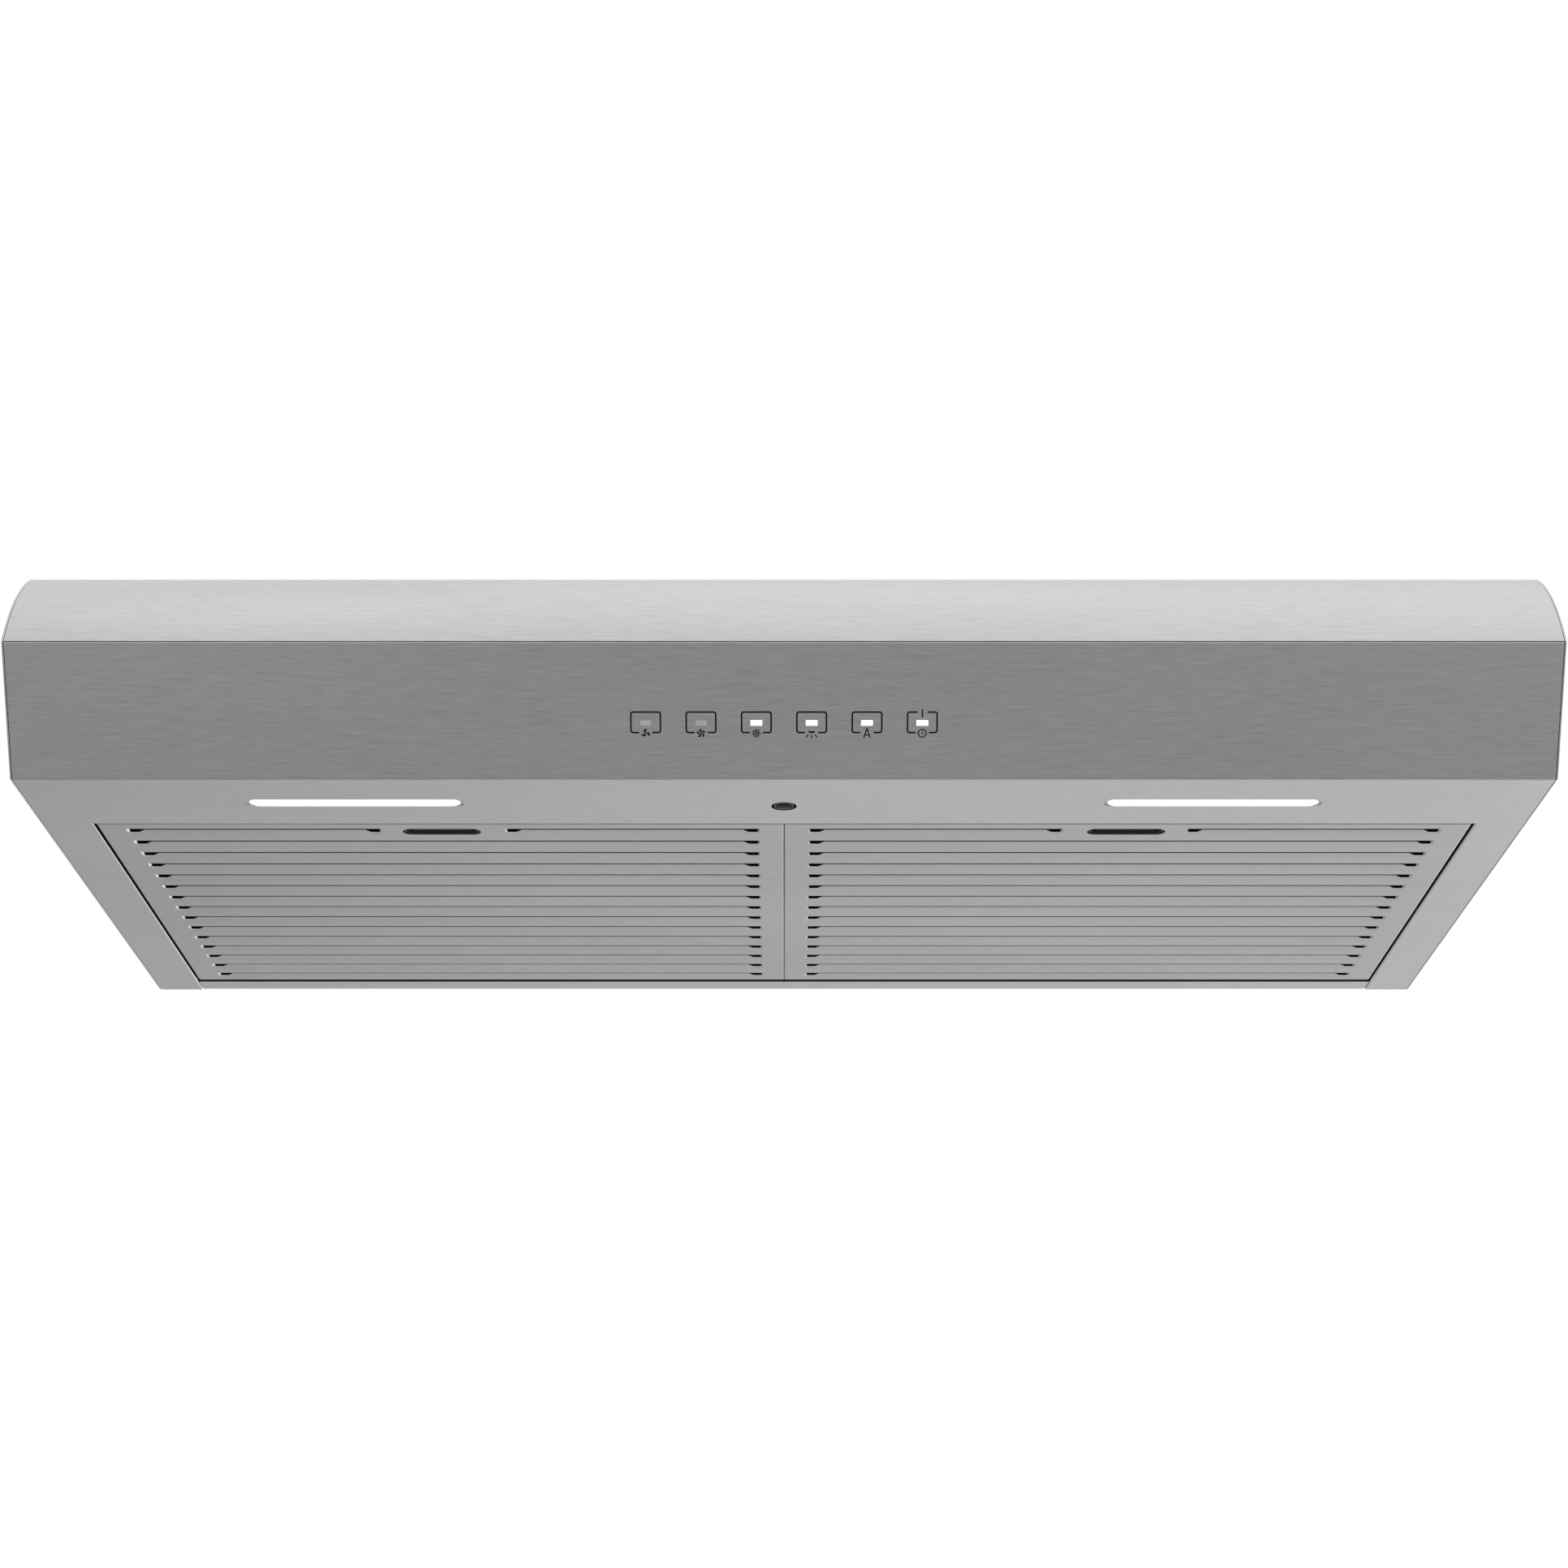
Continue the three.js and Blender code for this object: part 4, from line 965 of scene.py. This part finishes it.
for light_name, light_side in (("left", -1), ("right", 1)):
    build_light(light_name, light_side)
build_sensor()


# ---- printed touch marks ----
STROKE = 1.0
ICON_UP = ZONE_FOOT + 0.1
ICON_GAP = 7.6  # gap in a zone's outline for its icon
POWER_GAP = 5.8  # and for the power bar
POWER_BAR = (37.7, 42.5)  # the bar's foot and top


class Print:
    """Flat marks on the control face, drawn in its own frame: x across, y up the face."""

    def __init__(self, name, centre):
        self.name = name
        self.centre = centre
        self.bm = bmesh.new()

    def shape(self, points):
        sweep_z(self.bm, points, 0.0, INK, self.centre)

    def line(self, path, width=STROKE):
        """A ribbon of even width along a path."""
        self.shape(offset(path, -width / 2) + offset(path, width / 2)[::-1])

    def ring(self, up, radius, width):
        """A circle's ribbon of even width."""
        outer, inner = ([p + Vector((0, up)) for p in circle(radius + half, 36)]
                        for half in (width / 2, -width / 2))
        ring_prism(self.bm, outer, inner, 0.0, INK, self.centre)

    def done(self):
        piece(raw(self.name, self.bm, FACE), INK_BLACK)


def zone_outline(mark, bottom_gap, top_gap):
    """The rounded rectangle round a touch zone, open where the icon and the power bar cross it."""
    half, radius = ZONE_HALF - STROKE / 2, 1.3
    low, high = ZONE_FOOT + STROKE / 2, ZONE_TOP - STROKE / 2
    left = [Vector((-bottom_gap / 2, low)), Vector((-half, low)), Vector((-half, high))]
    right = [Vector((-point.x, point.y)) for point in reversed(left)]
    if not top_gap:
        mark.line(fillet(left + right, (radius,) * 4, 6))
        return
    mark.line(fillet(left + [Vector((-top_gap / 2, high))], (radius, radius), 6))
    mark.line(fillet([Vector((top_gap / 2, high))] + right, (radius, radius), 6))


def fan_icon(mark, up, blades):
    """A pinwheel of rounded, swept blades round a small hub."""
    mean, reach, steps = 1.62, 1.08, 20
    wide = min(1.3, 4.9 / blades)
    mark.shape([p + Vector((0, up)) for p in circle(0.5, 20)])
    for blade in range(blades):
        start = math.radians(112) + 2 * math.pi * blade / blades
        outline = []
        for i in range(steps):
            turn = 2 * math.pi * i / steps
            radius = mean + reach * math.cos(turn)
            across = wide * math.sin(turn) * (0.72 + 0.28 * math.cos(turn))
            angle = start - 0.42 * (radius - mean) + across / max(radius, 0.8)
            outline.append(Vector((radius * math.cos(angle), radius * math.sin(angle) + up)))
        mark.shape(outline)


def lamp_icon(mark, up):
    """A lamp's dome with three rays below, set a little lower than the other icons."""
    up -= 0.4
    top, half, deep, steps = up + 1.6, 2.2, 1.25, 10
    angles = [-math.pi * i / steps for i in range(steps + 1)]
    mark.shape([Vector((half * math.cos(angle), top + deep * math.sin(angle))) for angle in angles])
    for lean in (-1, 0, 1):
        start = Vector((lean * 2.0, up - 0.35 - 0.35 * (lean == 0)))
        mark.line([start, start + Vector((lean * 1.2, -1.9))], 0.72)


def auto_icon(mark, up):
    """A plain capital for the automatic setting."""
    foot, top, half = up - 2.8, up + 2.8, 1.85
    mark.line([Vector((-half, foot)), Vector((0, top)), Vector((half, foot))], 0.75)
    mark.line([Vector((-half * 0.62, foot + 1.75)), Vector((half * 0.62, foot + 1.75))], 0.6)


def timer_icon(mark, up):
    """A clock face with two hands."""
    mark.ring(up, 2.35, 0.7)
    mark.line([Vector((0, up + 1.6)), Vector((0, up)), Vector((1.15, up - 0.75))], 0.55)


MARKS = (("speed_low", fan_icon, 3), ("speed_medium", fan_icon, 5), ("speed_high", fan_icon, 7),
         ("light", lamp_icon), ("auto", auto_icon), ("power_timer", timer_icon))


def build_marks():
    """One printed piece for each touch zone: its outline, its icon, and the power bar on the last."""
    for zone, (name, icon, *blades) in enumerate(MARKS):
        mark = Print(f"{name}_mark", (zone_x(zone), 0))
        last = zone == ZONES - 1
        zone_outline(mark, ICON_GAP, POWER_GAP if last else 0.0)
        if last:
            mark.line([Vector((0, up)) for up in POWER_BAR], 0.85)
        icon(mark, ICON_UP, *blades)
        mark.done()


build_marks()


# ---- blower ----
WHEEL_AT = (-45, -25)
WHEEL_R = 103
WHEEL_BLADES = 44
WHEEL_TOP = -14
WHEEL_FOOT = -75.5
WHEEL_DISH = -58  # top of the back plate's level middle
INLET_R = 86


def turned(name, profile, at, material, stands_for, width, steps=64, body="canopy"):
    """A turned piece with its corners rounded."""
    obj = rounded(swept(name, lathe, profile, at, steps), width, 2, 40)
    piece(obj, material, stands_for, body, 50)


def build_wheel():
    """Squirrel-cage wheel: a dished back plate, forward-curved blades and a ring round the inlet."""
    hub_foot = span("wheel_nut")[1].z + 0.3
    top, foot, dish = WHEEL_TOP, WHEEL_FOOT, WHEEL_DISH
    plate = [(4.3, dish + 1), (12, dish + 1), (12, dish), (46, dish), (50, dish + 3), (57, top - 3),
             (60, top), (WHEEL_R, top), (WHEEL_R, top - 1.2), (61, top - 1.2), (58.2, top - 3.6),
             (51.2, dish + 2.2), (47, dish - 1.2), (12, dish - 1.2), (12, hub_foot), (4.3, hub_foot)]
    rim = [(91, foot + 1.5), (WHEEL_R, foot + 1.5), (WHEEL_R, foot), (92, foot), (91, foot + 0.6)]
    bm = bmesh.new()
    for profile in (plate, rim):
        lathe(bm, profile + [profile[0]], WHEEL_AT, 72)
    curve = arc_points(Vector((86.5, 0)), Vector((101.6, 7)), 14, 5)
    for blade in range(WHEEL_BLADES):
        turn = Matrix.Rotation(2 * math.pi * blade / WHEEL_BLADES, 2)
        sweep_z(bm, [turn @ p for p in sheet_loop(curve, 0.6)], foot + 0.8, top - 0.8, WHEEL_AT)
    piece(raw("wheel_skin", bm), ZINC, ["blower_wheel"], "blower_rotor")


def build_motor():
    """The motor's two pressed halves with a lamination stack between them."""
    foot, top = (corner.z for corner in span("motor"))
    stack_top, stack_foot = top - 9, foot + 15
    profile = [(0, top), (34, top), (39, top - 2), (41, top - 4), (41, stack_top), (44, stack_top)]
    count = 8
    for i in range(count):
        z = stack_top - (stack_top - stack_foot) * (i + 1) / count
        profile += [(44, z + 0.5), (43.4, z + 0.4), (43.4, z + 0.1), (44, z)]
    profile += [(41, stack_foot), (41, foot + 10), (36, foot + 5), (15, foot + 4), (14, foot), (0, foot)]
    turned("motor_skin", profile, WHEEL_AT, ALUMINIUM, ["motor"], 0.15)
    low, high = span("motor_shaft")
    turned("shaft_skin", [(0, high.z), (4, high.z), (4, low.z), (0, low.z)], WHEEL_AT, FASTENER,
           ["motor_shaft"], 0.5, 32, "blower_rotor")


def build_inlet_mouth():
    """The rolled bell mouth lining the inlet hole."""
    foot, top = (corner.z for corner in span("inlet_plate"))
    inner = INLET_R - 1.4
    profile = [(INLET_R + 7, foot - 0.3), (INLET_R + 7, foot - 1.3), (INLET_R + 4, foot - 2.0)]
    profile += [(inner + 4 * (1 - math.sin(a)), foot + 2 - 4 * math.cos(a))
                for a in (math.radians(15 * i) for i in range(7))]
    profile += [(inner, top - 0.2), (INLET_R - 0.5, top - 0.2), (INLET_R - 0.5, foot - 0.3),
                (INLET_R + 7, foot - 0.3)]
    turned("inlet_mouth", profile, WHEEL_AT, ZINC, (), 0.2, 96)


def cross_screw(node, head_high, head_up):
    """A pan-head screw with a cross recess and a ridged shank, filling its node's box."""
    low, high = span(node)
    x, y = at = middle(low, high)
    radius = (high.y - low.y) / 2
    sign, crown, tip = (1, high.z, low.z) if head_up else (-1, low.z, high.z)
    under = crown - sign * head_high
    shank = 0.48 * radius
    profile = [(0, crown)]
    for r, drop in ((0.45, 0.03), (0.7, 0.16), (0.88, 0.38), (0.97, 0.66), (1.0, 0.92), (0.97, 1.0)):
        profile.append((r * radius, crown - sign * drop * head_high))
    pitch = 0.8
    for i in range(int(abs(under - tip) / pitch)):
        z = under - sign * pitch * i
        profile += [(shank * 0.82, z), (shank, z - sign * pitch / 2)]
    profile += [(shank * 0.5, tip), (0, tip)]
    screw = swept(f"{node}_skin", lathe, profile, at, 28)
    ends = sorted((crown + sign * 0.5, crown - sign * 0.6 * head_high))
    arms = [swept("cutter", cuboid, x - long * radius, x + long * radius, y - wide * radius,
                  y + wide * radius, *ends) for long, wide in ((0.55, 0.13), (0.13, 0.55))]
    piece(combine(screw, arms, "DIFFERENCE"), FASTENER, [node], sharp=30)


def build_nut():
    """The wheel's hexagon nut, with its lower corners turned off."""
    low, high = span("wheel_nut")
    corners = [Matrix.Rotation(math.pi / 6, 2) @ p for p in circle((high.y - low.y) / 2, 6)]
    nut = swept("nut_skin", sweep_z, corners, low.z, high.z, WHEEL_AT)
    flat = (high.x - low.x) / 2
    cone = swept("cone", lathe, [(0, low.z - 1), (flat - 1.6, low.z - 1), (flat + 2.2, low.z + 1.2),
                                 (flat + 2.2, high.z + 1), (0, high.z + 1)], WHEEL_AT, 48)
    combine(nut, [cone], "INTERSECT")
    bore = swept("bore", sweep_z, circle(4.2, 32), low.z - 1, high.z + 1, WHEEL_AT)
    piece(combine(nut, [bore], "DIFFERENCE"), FASTENER, ["wheel_nut"],
          "blower_rotor", 30)


build_wheel()
build_motor()
build_inlet_mouth()
for number in range(1, 5):
    cross_screw(f"collar_screw_{number}", 1.7, True)
for number in range(1, 4):
    cross_screw(f"inlet_screw_{number}", 2.0, False)
    cross_screw(f"motor_screw_{number}", 2.1, True)
build_nut()


# ---- capacitor, cable clamp, damper rod and collar ----
def build_capacitor():
    """A plastic can with a rounded foot and a crimped cap."""
    low, high = span("capacitor")
    r, foot, top = (high.y - low.y) / 2, low.z, high.z
    profile = [(0, foot + 0.8), (r - 6, foot + 0.8), (r - 5, foot), (r - 2, foot), (r - 0.5, foot + 0.6),
               (r, foot + 2), (r, foot + 5), (r - 0.8, foot + 5.6), (r - 0.8, foot + 6.6),
               (r, foot + 7.2), (r, top), (0, top)]
    turned("capacitor_skin", profile, middle(low, high), WHITE, ["capacitor"], 0.3, 56)


def build_clamp():
    """The cable clamp's flanged bush with a grip of ribs."""
    low, high = span("cable_clamp")
    wide, ledge, neck, bore = (high.y - low.y) / 2, low.z + 4.4, 13, 8
    profile = [(bore + 1, high.z), (neck - 1, high.z), (neck, high.z - 0.8), (neck, ledge),
               (wide - 0.6, ledge), (wide, ledge - 0.6), (wide, low.z + 0.6), (wide - 0.6, low.z),
               (bore + 1, low.z)]
    for i in range(4):
        z = low.z + 1.2 + i * 1.6
        profile += [(bore + 0.8, z - 0.4), (bore, z), (bore + 0.8, z + 0.4)]
    turned("clamp_skin", profile + [profile[0]], middle(low, high), BLACK,
           ["cable_clamp"], 0.15, 56)


def build_rod():
    """The damper flap's rod."""
    low, high = span("damper_rod")
    y, z, r = (low.y + high.y) / 2, (low.z + high.z) / 2, (high.y - low.y) / 2
    rod = swept("rod_skin", sweep_x, [p + Vector((y, z)) for p in circle(r, 28)], low.x, high.x)
    piece(rounded(rod, 0.3, 3, 60), FASTENER, ["damper_rod"], "damper")


COLLAR_HALF, COLLAR_FRONT, COLLAR_REAR = 125.5, 152, 232  # the duct collar's neck


def build_collar_hem():
    """A beaded rim round the duct collar's mouth, just inside its outer size."""
    rim = span("duct_collar")[1].z
    bead = ((1.2, rim - 5), (2.0, rim - 4), (2.0, rim - 0.8), (1.6, rim), (0.5, rim), (0.02, rim - 0.6))
    loops = []
    for inset, z in bead:
        half, front, rear = COLLAR_HALF - inset, COLLAR_FRONT + inset, COLLAR_REAR - inset
        loops.append([(-half, front, z), (half, front, z), (half, rear, z), (-half, rear, z)])
    piece(swept("collar_hem", ring, loops), ZINC)


build_capacitor()
build_clamp()
build_rod()
build_collar_hem()


# ---- kept CAD nodes: finishes ----
SOFT_EDGE = {"white_plastic": 0.6, "black_plastic": 0.4, "circuit_board": 0.15, "galvanised": 0.25,
             "aluminium": 0.2}
FINISH = {
    "brushed_shell": STEEL, "filter_steel": FILTER_STEEL, "galvanised": ZINC, "aluminium": ALUMINIUM,
    "fasteners": FASTENER, "black_plastic": BLACK, "white_plastic": WHITE, "light_lens": LIGHT_LENS_MAT,
    "window_dim": WINDOW_DIM, "window_lit": WINDOW_LIT, "smoked_lens": SMOKED, "circuit_board": BOARD,
}


def dress_cad_nodes():
    """Every CAD node still showing takes its slot's material."""
    slots = {row["node"]: row["material_slot"] for row in frame["record"]["subparts"]}
    for name, node in frame["nodes"].items():
        if node.hide_render:
            continue
        node.data.materials.clear()
        node.data.materials.append(FINISH[slots[name]])
        weld = node.modifiers.new("weld", "WELD")
        weld.merge_threshold = 0.00001
        edge = node.modifiers.new("edges", "BEVEL")
        edge.width = SOFT_EDGE.get(slots[name], 0.15) * MM
        edge.segments = 2
        edge.limit_method = "ANGLE"
        edge.angle_limit = math.radians(40)
        edge.use_clamp_overlap = True


dress_cad_nodes()
